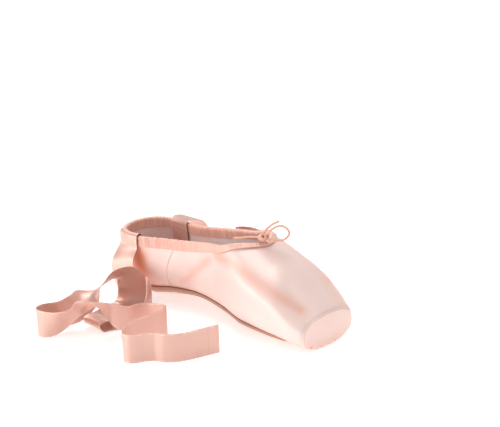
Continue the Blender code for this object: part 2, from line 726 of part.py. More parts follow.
def curve_through(points, steps):
    """Points of a smooth curve through the given ones, each stretch cut into its steps."""
    out = [points[0]]
    for k, count in enumerate(steps):
        a = points[max(k - 1, 0)]
        b = points[k]
        c = points[k + 1]
        d = points[min(k + 2, len(points) - 1)]
        one = max(float(np.linalg.norm(b - a)), 1e-9) ** 0.5
        two = max(float(np.linalg.norm(c - b)), 1e-9) ** 0.5
        three = max(float(np.linalg.norm(d - c)), 1e-9) ** 0.5
        leave = (c - b) if k == 0 else ((b - a) / one - (c - a) / (one + two)) * two + (c - b)
        if k + 2 < len(points):
            reach = (c - b) + ((d - c) / three - (d - b) / (two + three)) * two
        else:
            reach = c - b
        for j in range(1, count + 1):
            t = j / count
            out.append(
                b * (2 * t ** 3 - 3 * t ** 2 + 1) + leave * (t ** 3 - 2 * t ** 2 + t)
                + c * (3 * t ** 2 - 2 * t ** 3) + reach * (t ** 3 - t ** 2)
            )
    return out


def build_ribbon(side, share, count, table):
    rows = attached_rows(side, share, count) + loose_rows(table)
    middles = [row[1] for row in rows]
    gaps = [float(np.linalg.norm(b - a)) for a, b in zip(middles, middles[1:])]
    steps = [max(1, round(gap / RIBBON_STEP)) for gap in gaps]
    for k in range(1, len(middles) - 1):
        one = middles[k] - middles[k - 1]
        two = middles[k + 1] - middles[k]
        if one @ two < 0.80 * gaps[k - 1] * gaps[k]:
            steps[k - 1] = max(steps[k - 1], 2)
            steps[k] = max(steps[k], 2)
    rails = [curve_through([row[k] for row in rows], steps) for k in range(3)]
    fronts = []
    backs = []
    count = len(rails[0])
    for i in range(count):
        one = max(i - 1, 0)
        two = min(i + 1, count - 1)
        front = []
        back = []
        for k in range(3):
            along = rails[k][two] - rails[k][one]
            across = rails[min(k + 1, 2)][i] - rails[max(k - 1, 0)][i]
            normal = np.cross(along, across)
            normal *= 0.5 * RIBBON_THICKNESS / np.linalg.norm(normal)
            front.append(rails[k][i] + normal)
            back.append(rails[k][i] - normal)
        fronts.append(front)
        backs.append(back)
    sheet = Sheet()
    loop = [front + list(reversed(back)) for front, back in zip(fronts, backs)]
    # Both sides of the thin strip are split along the same lines, so they stay apart.
    sheet.grid(loop, wrap=True, cuts=(0, 0, 0, 1, 1, 1))
    for i in (0, -1):
        sheet.grid([fronts[i], backs[i]])
    return sheet


for ribbon_name, ribbon_side, ribbon_share, ribbon_count, ribbon_rows in (
    ("ribbon_near", -1, NEAR_SHARE, 9, NEAR_ROWS),
    ("ribbon_far", 1, FAR_SHARE, 6, FAR_ROWS),
):
    RIBBON = build_ribbon(ribbon_side, ribbon_share, ribbon_count, ribbon_rows)
    make_body(ribbon_name, RIBBON.points, RIBBON.faces, (0.88, 0.68, 0.61), 0.30)

# The drawstring at the throat: a knot, its loop and its two cut ends.
THROAT_X = THROAT_SHARE * SHOE_LENGTH
KNOT_PLACE = (THROAT_X - 0.0010, -0.0030, THROAT_HEIGHT + 0.0059)
KNOT_HALF_SIZES = (0.0042, 0.0040, 0.0034)
CORD_COLUMNS = ("x", "y", "z")
LOOP_ROWS = (
    (0.00405, 0.0020, -0.0009),
    (0.0078, 0.0050, -0.0018),
    (0.0115, 0.0088, -0.0025),
    (0.0150, 0.0123, -0.0012),
    (0.0171, 0.0149, 0.0032),
    (0.0154, 0.0132, 0.0082),
    (0.0115, 0.0097, 0.0102),
    (0.0076, 0.0058, 0.0082),
    (0.0026, 0.0016, 0.0029),
)
END_NEAR_ROWS = (
    (-0.00355, -0.0027, 0.0004),
    (-0.0090, -0.0075, 0.0006),
    (-0.0140, -0.0115, -0.0002),
    (-0.0190, -0.0140, -0.0006),
)
END_FAR_ROWS = (
    (-0.0006, 0.0025, 0.0034),
    (0.0012, 0.0054, 0.0070),
    (0.0040, 0.0086, 0.0102),
    (0.0078, 0.0116, 0.0126),
)


def build_cord(name, rows, spacing):
    """A round tube through the rows, placed from the knot, with closed ends."""
    points = [np.array(KNOT_PLACE) + np.array(row) for row in rows]
    steps = []
    for a, b in zip(points, points[1:]):
        steps.append(max(1, round(float(np.linalg.norm(b - a)) / spacing)))
    line = curve_through(points, steps)
    curve = bpy.data.curves.new(name, "CURVE")
    curve.dimensions = "3D"
    spline = curve.splines.new("POLY")
    spline.points.add(len(line) - 1)
    for point, place in zip(spline.points, line):
        point.co = (*[float(c) for c in place], 1.0)
    curve.bevel_depth = CORD_DIAMETER / 2
    curve.bevel_resolution = 2
    curve.render_resolution_u = 0
    curve.use_fill_caps = True
    body = bpy.data.objects.new(name, curve)
    bpy.context.scene.collection.objects.link(body)
    curve.materials.append(make_material(name, (0.86, 0.60, 0.50), 0.60))
    NODES.append(body)


def build_knot():
    sheet = Sheet()
    columns = []
    for k in range(13):
        turn = 2 * math.pi * k / 12
        column = []
        for j in range(9):
            rise = -math.pi / 2 + math.pi * j / 8
            wrap = 1 + 0.07 * math.cos(3 * turn + 2 * rise)
            offset = np.array((
                math.cos(rise) * math.cos(turn) * wrap,
                math.cos(rise) * math.sin(turn) * wrap,
                math.sin(rise),
            ))
            column.append(np.array(KNOT_PLACE) + offset * np.array(KNOT_HALF_SIZES))
        columns.append(column)
    sheet.grid(columns)
    return sheet


KNOT = build_knot()
make_body("drawstring_knot", KNOT.points, KNOT.faces, (0.86, 0.60, 0.50), 0.60)
build_cord("drawstring_loop", LOOP_ROWS, 0.003)
build_cord("drawstring_end_near", END_NEAR_ROWS, 0.004)
build_cord("drawstring_end_far", END_FAR_ROWS, 0.004)

# The origin goes to the centre of the shoe's footprint, measured without ribbons and cords.
bpy.context.view_layer.update()
LOOSE_PARTS = ("ribbon", "drawstring")
HARD_X = []
for node in NODES:
    if not node.name.startswith(LOOSE_PARTS):
        HARD_X += [corner[0] for corner in node.bound_box]
SHIFT = (min(HARD_X) + max(HARD_X)) / 2
for node in NODES:
    if node.type == "CURVE":
        for point in node.data.splines[0].points:
            point.co.x -= SHIFT
    else:
        for vertex in node.data.vertices:
            vertex.co.x -= SHIFT
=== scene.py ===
"""A satin pointe shoe with its bound collar, tied drawstring and two loose ribbons.

Every place is worked out in metres from the back of the heel and the ground, in the shoe's own
sizes, and moved to the middle of the footprint when its mesh is made. +X runs to the toe, and
the near side is -Y.
"""

import math

import bmesh
import bpy
import numpy as np
from mathutils import Matrix, Vector


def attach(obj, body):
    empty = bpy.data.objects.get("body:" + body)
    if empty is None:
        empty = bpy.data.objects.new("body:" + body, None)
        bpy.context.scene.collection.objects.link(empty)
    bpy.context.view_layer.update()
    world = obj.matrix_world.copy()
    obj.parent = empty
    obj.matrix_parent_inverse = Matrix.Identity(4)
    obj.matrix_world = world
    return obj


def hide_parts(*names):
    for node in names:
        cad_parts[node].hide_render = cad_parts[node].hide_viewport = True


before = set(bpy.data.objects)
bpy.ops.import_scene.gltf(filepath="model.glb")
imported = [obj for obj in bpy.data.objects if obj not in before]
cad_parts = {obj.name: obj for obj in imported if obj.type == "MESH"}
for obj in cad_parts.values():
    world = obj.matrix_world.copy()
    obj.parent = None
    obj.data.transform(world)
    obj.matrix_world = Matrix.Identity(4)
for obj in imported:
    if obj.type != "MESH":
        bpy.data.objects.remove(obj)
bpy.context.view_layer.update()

# Sizes of the last, the same as the solids have.
SHOE_LENGTH = 0.238
BALL_WIDTH = 0.076
WAIST_WIDTH = 0.045
HEEL_WIDTH = 0.057
PLATFORM_WIDTH = 0.061
PLATFORM_HEIGHT = 0.030
PLATFORM_EDGE = 0.0024
PLATFORM_BULGE = 0.0006
THROAT_HEIGHT = 0.0748
HEEL_HEIGHT = 0.058
SIDE_HEIGHT = 0.0600
ARCH_RISE = 0.0090
TOE_SPRING = -0.0022
HEEL_BACK_LEAN = 0.0015
HEEL_FLOOR_ROUND = 0.0120
THROAT_SHARE = 0.710
THROAT_RUN = 0.10
THROAT_DROP = 0.0120
HEEL_ROUND_SHARE = 0.115
MIDDLE_X = 0.119165
SHIFT = np.array((MIDDLE_X, 0.0, 0.0))

GAP = 0.0003
QUARTER_WALL = 0.0018
BOX_WALL = 0.0030
PLATFORM_WALL = 0.0042
SOLE_THICKNESS = 0.0030
SOLE_FLAT_RISE = 0.0012
SOLE_EDGE_THINNING = 0.0012
INSOLE_THICKNESS = 0.0015
INSOLE_EASE = 0.0007
BINDING_THICKNESS = 0.0006
BINDING_ROLL = 0.0016
THROAT_EASE = 0.0004
CORD_DIAMETER = 0.0020
RIBBON_WIDTH = 0.0250
RIBBON_THICKNESS = 0.0005
UPPER_POWER = 2.6
LOWER_POWER = 2.3
WIDEST_SHARE = 0.48

BASE = SOLE_THICKNESS + GAP
CROWN_TOE = BASE + TOE_SPRING + PLATFORM_HEIGHT
CROWN_RUN = THROAT_HEIGHT - CROWN_TOE
COLLAR_RISE = THROAT_HEIGHT - SIDE_HEIGHT

# Share of the length, half width, underside height and crown height of the last's sections.
LAST_ROWS = (
    (0.00, HEEL_WIDTH * 0.485, BASE + 0.0008, CROWN_TOE + CROWN_RUN * 1.92),
    (0.05, HEEL_WIDTH * 0.500, BASE, CROWN_TOE + CROWN_RUN * 1.89),
    (0.14, HEEL_WIDTH * 0.495, BASE, CROWN_TOE + CROWN_RUN * 1.84),
    (0.27, WAIST_WIDTH * 0.505, BASE + ARCH_RISE * 0.60, CROWN_TOE + CROWN_RUN * 1.75),
    (0.40, WAIST_WIDTH * 0.515, BASE + ARCH_RISE, CROWN_TOE + CROWN_RUN * 1.60),
    (0.55, BALL_WIDTH * 0.335, BASE + ARCH_RISE * 0.45, CROWN_TOE + CROWN_RUN * 1.36),
    (0.66, BALL_WIDTH * 0.440, BASE, CROWN_TOE + CROWN_RUN * 1.13),
    (0.71, BALL_WIDTH * 0.476, BASE, CROWN_TOE + CROWN_RUN * 1.00),
    (0.78, BALL_WIDTH * 0.500, BASE, CROWN_TOE + CROWN_RUN * 0.82),
    (0.86, BALL_WIDTH * 0.498, BASE + TOE_SPRING * 0.10, CROWN_TOE + CROWN_RUN * 0.62),
    (0.93, BALL_WIDTH * 0.474, BASE + TOE_SPRING * 0.40, CROWN_TOE + CROWN_RUN * 0.30),
    (1.00, PLATFORM_WIDTH * 0.500, BASE + TOE_SPRING, CROWN_TOE),
)

# Share of the length and height of the collar's edge.
COLLAR_ROWS = (
    (0.00, HEEL_HEIGHT - 0.0005),
    (0.10, HEEL_HEIGHT - 0.0013),
    (0.20, HEEL_HEIGHT),
    (0.28, SIDE_HEIGHT),
    (0.40, SIDE_HEIGHT + COLLAR_RISE * 0.30),
    (0.50, SIDE_HEIGHT + COLLAR_RISE * 0.57),
    (0.60, SIDE_HEIGHT + COLLAR_RISE * 0.85),
    (THROAT_SHARE, THROAT_HEIGHT),
)

# Share of the length and half width of the outsole.
SOLE_START, SOLE_END = 0.040, 0.885
SOLE_ROWS = (
    (0.04, HEEL_WIDTH * 0.298),
    (0.12, HEEL_WIDTH * 0.307),
    (0.28, WAIST_WIDTH * 0.311),
    (0.42, WAIST_WIDTH * 0.278),
    (0.56, BALL_WIDTH * 0.224),
    (0.70, BALL_WIDTH * 0.296),
    (0.80, BALL_WIDTH * 0.296),
    (0.885, BALL_WIDTH * 0.270),
)
LASTING_MARGIN = 0.0070
WINDOW_START, WINDOW_END = 0.085, 0.825
INSOLE_START, INSOLE_END = 0.030, 0.900
INSOLE_SHARE = 0.74

# Points round each half section of the upper, and sections round the heel, along the quarter,
# towards the throat, from it to the window's end, and on to the toe outside and inside.
HALF_ROWS = 73
HEEL_STEPS, QUARTER_STEPS, THROAT_STEPS, BALL_STEPS = 28, 56, 26, 22
OUTER_STEPS, INNER_STEPS = 34, 20
# Cloth used along the foot for each metre of the shoe's length.
LAID_STRETCH = 1.07
HOLLOW_ROUND = 0.0020


def smooth_value(table, column, share):
    """Read a table's column at each share, through all its rows without corners."""
    places = np.array([row[0] for row in table])
    values = np.array([row[column] for row in table])
    steps = np.diff(places)
    rates = np.diff(values) / steps
    inner = (steps[1:] * rates[:-1] + steps[:-1] * rates[1:]) / (steps[1:] + steps[:-1])
    slopes = np.concatenate((rates[:1], inner, rates[-1:]))
    share = np.clip(share, places[0], places[-1])
    k = np.clip(np.searchsorted(places, share) - 1, 0, len(places) - 2)
    h = steps[k]
    t = (share - places[k]) / h
    first = (1 + 2 * t) * (1 - t) ** 2 * values[k] + t * (1 - t) ** 2 * h * slopes[k]
    last = t * t * (3 - 2 * t) * values[k + 1] + t * t * (t - 1) * h * slopes[k + 1]
    return first + last


def soft_step(low, high, value):
    t = np.clip((value - low) / (high - low), 0.0, 1.0)
    return t * t * (3 - 2 * t)


ROUND_RUN = HEEL_ROUND_SHARE * math.pi / 2
ROUND_PART = ROUND_RUN / (ROUND_RUN + 1 - HEEL_ROUND_SHARE)


def share_of(run):
    """Turn the even run from heel back to toe into a share of the length."""
    run = np.asarray(run, float)
    turn = np.clip(run, 0.0, ROUND_PART) / ROUND_PART * math.pi / 2
    beyond = HEEL_ROUND_SHARE + (run - ROUND_PART) * (1 - HEEL_ROUND_SHARE) / (1 - ROUND_PART)
    return np.where(run < ROUND_PART, HEEL_ROUND_SHARE * (1 - np.cos(turn)), beyond)


def run_of(share):
    share = np.asarray(share, float)
    turn = np.arccos(np.clip(1 - share / HEEL_ROUND_SHARE, -1.0, 1.0))
    beyond = ROUND_PART + (share - HEEL_ROUND_SHARE) * (1 - ROUND_PART) / (1 - HEEL_ROUND_SHARE)
    return np.where(share < HEEL_ROUND_SHARE, ROUND_PART * turn * 2 / math.pi, beyond)


def last_section(run):
    """Half width, underside, crown and widest height of the last at a run."""
    share = share_of(run)
    turned = np.clip(1 - share / HEEL_ROUND_SHARE, 0.0, 1.0)
    half = smooth_value(LAST_ROWS, 1, share) * np.sqrt(1 - turned ** 2.2)
    turn = np.clip(1 - share * SHOE_LENGTH / HEEL_FLOOR_ROUND, 0.0, 1.0)
    low = smooth_value(LAST_ROWS, 2, share)
    low = low + HEEL_FLOOR_ROUND * 0.9 * (1 - np.sqrt(1 - turn * turn))
    crown = smooth_value(LAST_ROWS, 3, share)
    widest = low + (np.minimum(crown, THROAT_HEIGHT) - low) * WIDEST_SHARE
    return half, low, crown, widest


def last_point(run, angle, inset=0.0, reach=None):
    """A place on the last; the angle runs from -90 degrees underneath to 90 at the crown."""
    run, angle = np.broadcast_arrays(np.asarray(run, float), np.asarray(angle, float))
    side = np.where(run < 0, -1.0, 1.0)
    run = np.minimum(np.abs(run), 1.0)
    half, low, crown, widest = last_section(run)
    half, low, crown = half - inset, low + inset, crown - inset
    across, rise = np.cos(angle), np.sin(angle)
    power = 2 / np.where(rise >= 0, UPPER_POWER, LOWER_POWER)
    y = half * np.sign(across) * np.abs(across) ** power * side
    z = widest + np.where(rise >= 0, crown - widest, widest - low) * np.sign(rise) * (
        np.abs(rise) ** power
    )
    x = share_of(run) * SHOE_LENGTH if reach is None else np.full(run.shape, float(reach))
    lean = (z - HEEL_HEIGHT * 0.4) / HEEL_HEIGHT
    heel = np.maximum(1 - x / (HEEL_ROUND_SHARE * SHOE_LENGTH), 0.0)
    x = x + HEEL_BACK_LEAN * 2.0 * heel * lean * np.abs(lean)
    return np.stack((x, y, z), axis=-1)


def unit(vectors):
    return vectors / np.maximum(np.linalg.norm(vectors, axis=-1, keepdims=True), 1e-12)


def last_normal(run, angle):
    """Outward direction of the last's surface."""
    step = 0.0015
    run, angle = np.broadcast_arrays(np.asarray(run, float), np.asarray(angle, float))
    ahead = np.minimum(run + step, 1.0)
    along = last_point(ahead, angle) - last_point(ahead - 2 * step, angle)
    round_it = last_point(run, angle + step) - last_point(run, angle - step)
    return unit(np.cross(round_it, along))


def angle_at_height(run, height):
    crown, widest = last_section(run)[2:]
    rise = np.clip((height - widest) / (crown - widest), 0.0, 1.0)
    return np.arcsin(rise ** (UPPER_POWER / 2))


def angle_on_side(run, height):
    """Angle at a height on the side, above or below its widest line."""
    _, low, _, widest = last_section(run)
    fall = np.clip((widest - height) / (widest - low), 0.0, 1.0)
    below = -np.arcsin(fall ** (LOWER_POWER / 2))
    return np.where(height < widest, below, angle_at_height(run, height))


def angle_at_width(run, width):
    """Angle on the underside where the section is this wide from the middle."""
    half = np.maximum(last_section(run)[0], 1e-6)
    return -np.arccos(np.clip(width / half, 0.0, 1.0) ** (LOWER_POWER / 2))


def collar_angle(run):
    share = share_of(run)
    height = smooth_value(COLLAR_ROWS, 1, share)
    fall = THROAT_DROP * (np.maximum(THROAT_SHARE - share, 0.0) / THROAT_RUN) ** 1.5
    part = soft_step(THROAT_SHARE - 0.20, THROAT_SHARE - 0.05, share)
    round_throat = last_section(run)[2] - fall
    angle = angle_at_height(run, height * (1 - part) + round_throat * part)
    return np.where(share >= THROAT_SHARE - 1e-9, math.pi / 2, angle)


def rounded_outline(share, start, end, half, round_share):
    """Half width of an outline with round ends."""
    near = np.minimum(np.minimum(share - start, end - share) / round_share, 1.0)
    return half * np.sqrt(np.maximum(1 - (1 - np.maximum(near, 0.0)) ** 2, 0.0))


def sole_half(share):
    half = smooth_value(SOLE_ROWS, 1, share)
    return rounded_outline(share, SOLE_START, SOLE_END, half, half / SHOE_LENGTH)


def window_half(share):
    half = smooth_value(SOLE_ROWS, 1, share) - LASTING_MARGIN
    return rounded_outline(share, WINDOW_START, WINDOW_END, half, half / SHOE_LENGTH)


def insole_half(share):
    half = last_section(run_of(share))[0] * INSOLE_SHARE
    return rounded_outline(share, INSOLE_START, INSOLE_END, half, 0.07)


def wall_at(share):
    return QUARTER_WALL + (BOX_WALL - QUARTER_WALL) * soft_step(0.66, 0.88, share)


def row_angles(run, count):
    """Angles from the open underside to the collar, evenly spaced along the surface."""
    share = share_of(run)
    window = float(window_half(share))
    first = float(angle_at_width(run, window)) if window > 0 else -math.pi / 2
    fine = np.linspace(first, float(collar_angle(run)), 401)
    places = last_point(max(run, 0.004), fine)
    lengths = np.concatenate(([0.0], np.cumsum(np.linalg.norm(np.diff(places, axis=0), axis=1))))
    return np.interp(np.linspace(0.0, lengths[-1], count), lengths, fine), lengths[-1]


def distance_to(path, places):
    """Distance of each place from a line of short straight pieces."""
    best = np.full(places.shape[:-1], 1e9)
    for a, b in zip(path, path[1:]):
        along = b - a
        t = np.clip(((places - a) @ along) / (along @ along), 0.0, 1.0)
        gap = np.linalg.norm(places - a - t[..., None] * along, axis=-1)
        best = np.minimum(best, gap)
    return best


# Meshes.
class Cloth:
    """Collects grids of places, with their place on the cloth and their marks, for one mesh."""

    def __init__(self, *marks):
        self.places, self.laid, self.faces, self.kinds = [], [], [], []
        self.marks = {mark: [] for mark in marks}
        self.count = 0

    def grid(self, places, laid=None, flip=False, kind=0, **marks):
        """Faces between neighbouring columns; laid is each place on the flat cloth, in metres."""
        columns, rows = places.shape[:2]
        index = self.count + np.arange(columns * rows).reshape(columns, rows)
        self.count += columns * rows
        a, b, c, d = index[:-1, :-1], index[1:, :-1], index[1:, 1:], index[:-1, 1:]
        faces = np.stack((a, b, c, d), axis=-1).reshape(-1, 4)
        self.faces.append(faces[:, ::-1] if flip else faces)
        self.kinds.append(np.full(len(faces), kind))
        self.places.append(places.reshape(-1, 3))
        laid = np.zeros((columns, rows, 2)) if laid is None else laid
        self.laid.append(laid.reshape(-1, 2))
        for mark, values in self.marks.items():
            given = marks.get(mark, 0.0)
            values.append(np.broadcast_to(given, (columns, rows)).reshape(-1).astype(float))

    def make(self, name, materials, join=0.00001):
        """One closed, smooth mesh in the shoe's frame, its faces pointing out."""
        places = np.concatenate(self.places) - SHIFT
        mesh = bpy.data.meshes.new(name)
        mesh.from_pydata(places.tolist(), [], np.concatenate(self.faces).tolist())
        mesh.polygons.foreach_set("material_index", np.concatenate(self.kinds).astype(np.int32))
        corners = np.empty(len(mesh.loops), np.int32)
        mesh.loops.foreach_get("vertex_index", corners)
        laid = np.concatenate(self.laid)
        mesh.uv_layers.new(name="laid").data.foreach_set("uv", laid[corners].reshape(-1))
        for mark, values in self.marks.items():
            layer = mesh.attributes.new(mark, "FLOAT", "POINT")
            layer.data.foreach_set("value", np.concatenate(values))
        work = bmesh.new()
        work.from_mesh(mesh)
        bmesh.ops.remove_doubles(work, verts=work.verts, dist=join)
        bmesh.ops.dissolve_degenerate(work, edges=work.edges, dist=join / 4)
        bmesh.ops.recalc_face_normals(work, faces=work.faces)
        work.to_mesh(mesh)
        work.free()
        mesh.polygons.foreach_set("use_smooth", np.ones(len(mesh.polygons), bool))
        piece = bpy.data.objects.new(name, mesh)
        bpy.context.scene.collection.objects.link(piece)
        for material in materials:
            mesh.materials.append(material)
        return piece


def mirrored(places):
    return places * np.array((1.0, -1.0, 1.0))


def on_side(side, places):
    return places if side > 0 else mirrored(places)


def measured(line):
    """Length along a line at each of its points."""
    return np.concatenate(([0.0], np.cumsum(np.linalg.norm(np.diff(line, axis=0), axis=1))))


# Materials.
def add(tree, kind, values=(), **settings):
    """One node with its settings, its inputs set or linked by name or number."""
    made = tree.nodes.new(kind)
    for key, value in settings.items():
        setattr(made, key, value)
    for key, value in dict(values).items():
        socket = made.inputs[key]
        if isinstance(value, bpy.types.NodeSocket):
            tree.links.new(value, socket)
        else:
            socket.default_value = value
    return made


def maths(tree, operation, first, second=0.0, third=0.0):
    values = {0: first, 1: second, 2: third}
    return add(tree, "ShaderNodeMath", values, operation=operation).outputs[0]


def group(name, inputs, outputs):
    """An empty shader group with named sockets."""
    tree = bpy.data.node_groups.new(name, "ShaderNodeTree")
    for label, kind, start in inputs:
        socket = tree.interface.new_socket(label, in_out="INPUT", socket_type=kind)
        if start is not None:
            socket.default_value = start
    for label, kind in outputs:
        tree.interface.new_socket(label, in_out="OUTPUT", socket_type=kind)
    return tree, add(tree, "NodeGroupInput"), add(tree, "NodeGroupOutput")


def make_weave_group():
    """Fine satin threads with slubs and a slow waviness, as a height in millimetres."""
    tree, given, out = group(
        "satin_threads",
        (
            ("Laid", "NodeSocketVector", None),
            ("Thread Width", "NodeSocketFloat", 0.0003),
            ("Thread Height", "NodeSocketFloat", 0.02),
            ("Wave Width", "NodeSocketFloat", 0.012),
            ("Wave Height", "NodeSocketFloat", 0.08),
        ),
        (("Height", "NodeSocketFloat"), ("Blotch", "NodeSocketFloat")),
    )
    ways = add(tree, "ShaderNodeSeparateXYZ", {0: given.outputs["Laid"]}).outputs
    width = given.outputs["Thread Width"]
    along = maths(tree, "DIVIDE", ways[0], maths(tree, "MULTIPLY", width, 14.0))
    over = maths(tree, "DIVIDE", ways[1], width)
    threads = add(tree, "ShaderNodeCombineXYZ", {0: along, 1: over}).outputs[0]
    slub = add(tree, "ShaderNodeTexNoise", {"Vector": threads, "Scale": 1.0, "Detail": 2.0})
    wave = given.outputs["Wave Width"]
    wavy = add(tree, "ShaderNodeCombineXYZ", {
        0: maths(tree, "DIVIDE", ways[0], wave), 1: maths(tree, "DIVIDE", ways[1], wave),
    }).outputs[0]
    slow = add(tree, "ShaderNodeTexNoise", {"Vector": wavy, "Scale": 1.0, "Detail": 1.5})
    fine = maths(tree, "MULTIPLY", slub.outputs[0], given.outputs["Thread Height"])
    broad = maths(tree, "MULTIPLY", slow.outputs[0], given.outputs["Wave Height"])
    tree.links.new(maths(tree, "ADD", fine, broad), out.inputs["Height"])
    tree.links.new(slow.outputs[0], out.inputs["Blotch"])
    return tree


def make_plain_weave_group():
    """Over and under threads of a plain cloth, as a height from 0 to 1."""
    tree, given, out = group(
        "plain_weave",
        (("Laid", "NodeSocketVector", None), ("Thread Width", "NodeSocketFloat", 0.0005)),
        (("Height", "NodeSocketFloat"), ("Blotch", "NodeSocketFloat")),
    )
    ways = add(tree, "ShaderNodeSeparateXYZ", {0: given.outputs["Laid"]}).outputs
    width = given.outputs["Thread Width"]
    waves = []
    for way in (0, 1):
        turns = maths(tree, "MULTIPLY", maths(tree, "DIVIDE", ways[way], width), math.pi)
        waves.append(maths(tree, "SINE", turns))
    crossing = maths(tree, "MULTIPLY", waves[0], waves[1])
    height = maths(tree, "MULTIPLY_ADD", crossing, 0.5, 0.5)
    blotch = add(tree, "ShaderNodeTexNoise", {
        "Vector": given.outputs["Laid"], "Scale": 90.0, "Detail": 4.0,
    })
    tree.links.new(height, out.inputs["Height"])
    tree.links.new(blotch.outputs[0], out.inputs["Blotch"])
    return tree


def make_line_group():
    """A narrow line where a mark crosses zero, from 0 beside it to 1 on it."""
    tree, given, out = group(
        "narrow_line",
        (("Mark", "NodeSocketFloat", 0.0), ("Half Width", "NodeSocketFloat", 0.0004)),
        (("Line", "NodeSocketFloat"), ("Step", "NodeSocketFloat")),
    )
    scaled = maths(tree, "DIVIDE", given.outputs["Mark"], given.outputs["Half Width"])
    squared = maths(tree, "MULTIPLY", scaled, scaled)
    line = maths(tree, "POWER", 2.718, maths(tree, "MULTIPLY", squared, -1.0))
    step = add(tree, "ShaderNodeMapRange", {
        "Value": scaled, "From Min": -1.0, "From Max": 1.0,
    }, interpolation_type="SMOOTHSTEP")
    tree.links.new(line, out.inputs["Line"])
    tree.links.new(step.outputs[0], out.inputs["Step"])
    return tree


THREADS = make_weave_group()
WEAVE = make_plain_weave_group()
LINE = make_line_group()


def place_group(tree, made, values):
    return add(tree, "ShaderNodeGroup", values, node_tree=made).outputs


def laid_place(tree):
    """The place on the flat cloth."""
    return add(tree, "ShaderNodeUVMap", uv_map="laid").outputs[0]


def mark_value(tree, mark):
    return add(tree, "ShaderNodeAttribute", attribute_name=mark).outputs["Fac"]


def clamped(tree, value):
    return add(tree, "ShaderNodeClamp", {"Value": value}).outputs[0]


def start_material(name, colour, roughness, **sockets):
    material = bpy.data.materials.new(name)
    material.use_nodes = True
    material.diffuse_color = (*colour, 1.0)
    shader = material.node_tree.nodes["Principled BSDF"]
    shader.inputs["Base Color"].default_value = (*colour, 1.0)
    shader.inputs["Roughness"].default_value = roughness
    for key, value in sockets.items():
        shader.inputs[key.replace("_", " ")].default_value = value
    return material, material.node_tree, shader


def mix(tree, share, first, second):
    """Colour mixed by a share; each colour is three numbers or a socket."""
    made = add(tree, "ShaderNodeMix", {"Factor": share}, data_type="RGBA")
    for socket, colour in ((made.inputs[6], first), (made.inputs[7], second)):
        if isinstance(colour, bpy.types.NodeSocket):
            tree.links.new(colour, socket)
        else:
            socket.default_value = (*colour, 1.0)
    return made.outputs[2]


def bump(tree, shader, height):
    """Feed a height in millimetres to the shader's normal."""
    made = add(tree, "ShaderNodeBump", {"Strength": 1.0, "Distance": 0.001, "Height": height})
    tree.links.new(made.outputs[0], shader.inputs["Normal"])


# A mark, then its line's half width in metres, height in millimetres, cover and own colour.
SHOE_LINES = (("seam", 0.00045, -0.28, 0.55, None), ("fold", 0.00040, -0.12, 0.32, None))
RIBBON_LINES = (
    ("seam", 0.00035, 0.05, 0.55, (0.97, 0.76, 0.69)),
    ("fold", 0.0004, -0.06, 0.5, None),
)


def satin(name, light, deep, roughness, thread, wave, lines=(), metal=0.20):
    """Satin with soft broad gloss, deeper where its tone mark is high, with lines at its marks."""
    material, tree, shader = start_material(
        name, light, roughness, Metallic=metal, Sheen_Weight=0.12, Sheen_Roughness=0.45,
        Specular_IOR_Level=0.60, Anisotropic=0.75, Anisotropic_Rotation=0.25,
    )
    shader.inputs["Sheen Tint"].default_value = (1.0, 0.88, 0.82, 1.0)
    laid = laid_place(tree)
    cloth = place_group(tree, THREADS, {
        "Laid": laid, "Thread Width": thread, "Thread Height": 0.012,
        "Wave Width": wave, "Wave Height": 0.10,
    })
    tone = mark_value(tree, "tone")
    blotch = maths(tree, "MULTIPLY_ADD", cloth["Blotch"], 0.16, -0.08)
    share = clamped(tree, maths(tree, "ADD", tone, blotch))
    colour = mix(tree, share, light, deep)
    height = cloth["Height"]
    for mark, half, depth, cover, tint in lines:
        line = place_group(tree, LINE, {"Mark": mark_value(tree, mark), "Half Width": half})
        height = maths(tree, "MULTIPLY_ADD", line["Line"], depth, height)
        height = maths(tree, "MULTIPLY_ADD", line["Step"], -depth * 0.35, height)
        colour = mix(tree, maths(tree, "MULTIPLY", line["Line"], cover), colour, tint or deep)
    tree.links.new(colour, shader.inputs["Base Color"])
    gloss = maths(tree, "MULTIPLY_ADD", cloth["Blotch"], 0.10, roughness - 0.05)
    tree.links.new(gloss, shader.inputs["Roughness"])
    bump(tree, shader, height)
    return material


def plain_cloth(name, light, deep, thread, depth, roughness=0.8):
    """Woven cotton with soft blotches."""
    material, tree, shader = start_material(name, light, roughness, Sheen_Weight=0.15)
    laid = laid_place(tree)
    cloth = place_group(tree, WEAVE, {"Laid": laid, "Thread Width": thread})
    tone = mark_value(tree, "tone")
    share = maths(tree, "MULTIPLY_ADD", cloth["Blotch"], 0.5, tone)
    share = clamped(tree, maths(tree, "ADD", share, -0.15))
    tree.links.new(mix(tree, share, light, deep), shader.inputs["Base Color"])
    bump(tree, shader, maths(tree, "MULTIPLY", cloth["Height"], depth))
    return material


def leather(name, light, deep):
    """Split leather: fine nap, scuffs and pores."""
    material, tree, shader = start_material(name, light, 0.8, Sheen_Weight=0.1)
    here = add(tree, "ShaderNodeTexCoord").outputs["Object"]
    nap = add(tree, "ShaderNodeTexNoise", {"Vector": here, "Scale": 900.0, "Detail": 6.0})
    scuff = add(tree, "ShaderNodeTexNoise", {"Vector": here, "Scale": 60.0, "Detail": 5.0})
    pores = add(tree, "ShaderNodeTexVoronoi", {"Vector": here, "Scale": 1100.0})
    tone = mark_value(tree, "tone")
    share = maths(tree, "MULTIPLY_ADD", scuff.outputs[0], 0.7, tone)
    share = clamped(tree, maths(tree, "ADD", share, -0.2))
    tree.links.new(mix(tree, share, light, deep), shader.inputs["Base Color"])
    height = maths(tree, "MULTIPLY", nap.outputs[0], 0.06)
    height = maths(tree, "MULTIPLY_ADD", pores.outputs[0], 0.05, height)
    bump(tree, shader, height)
    return material


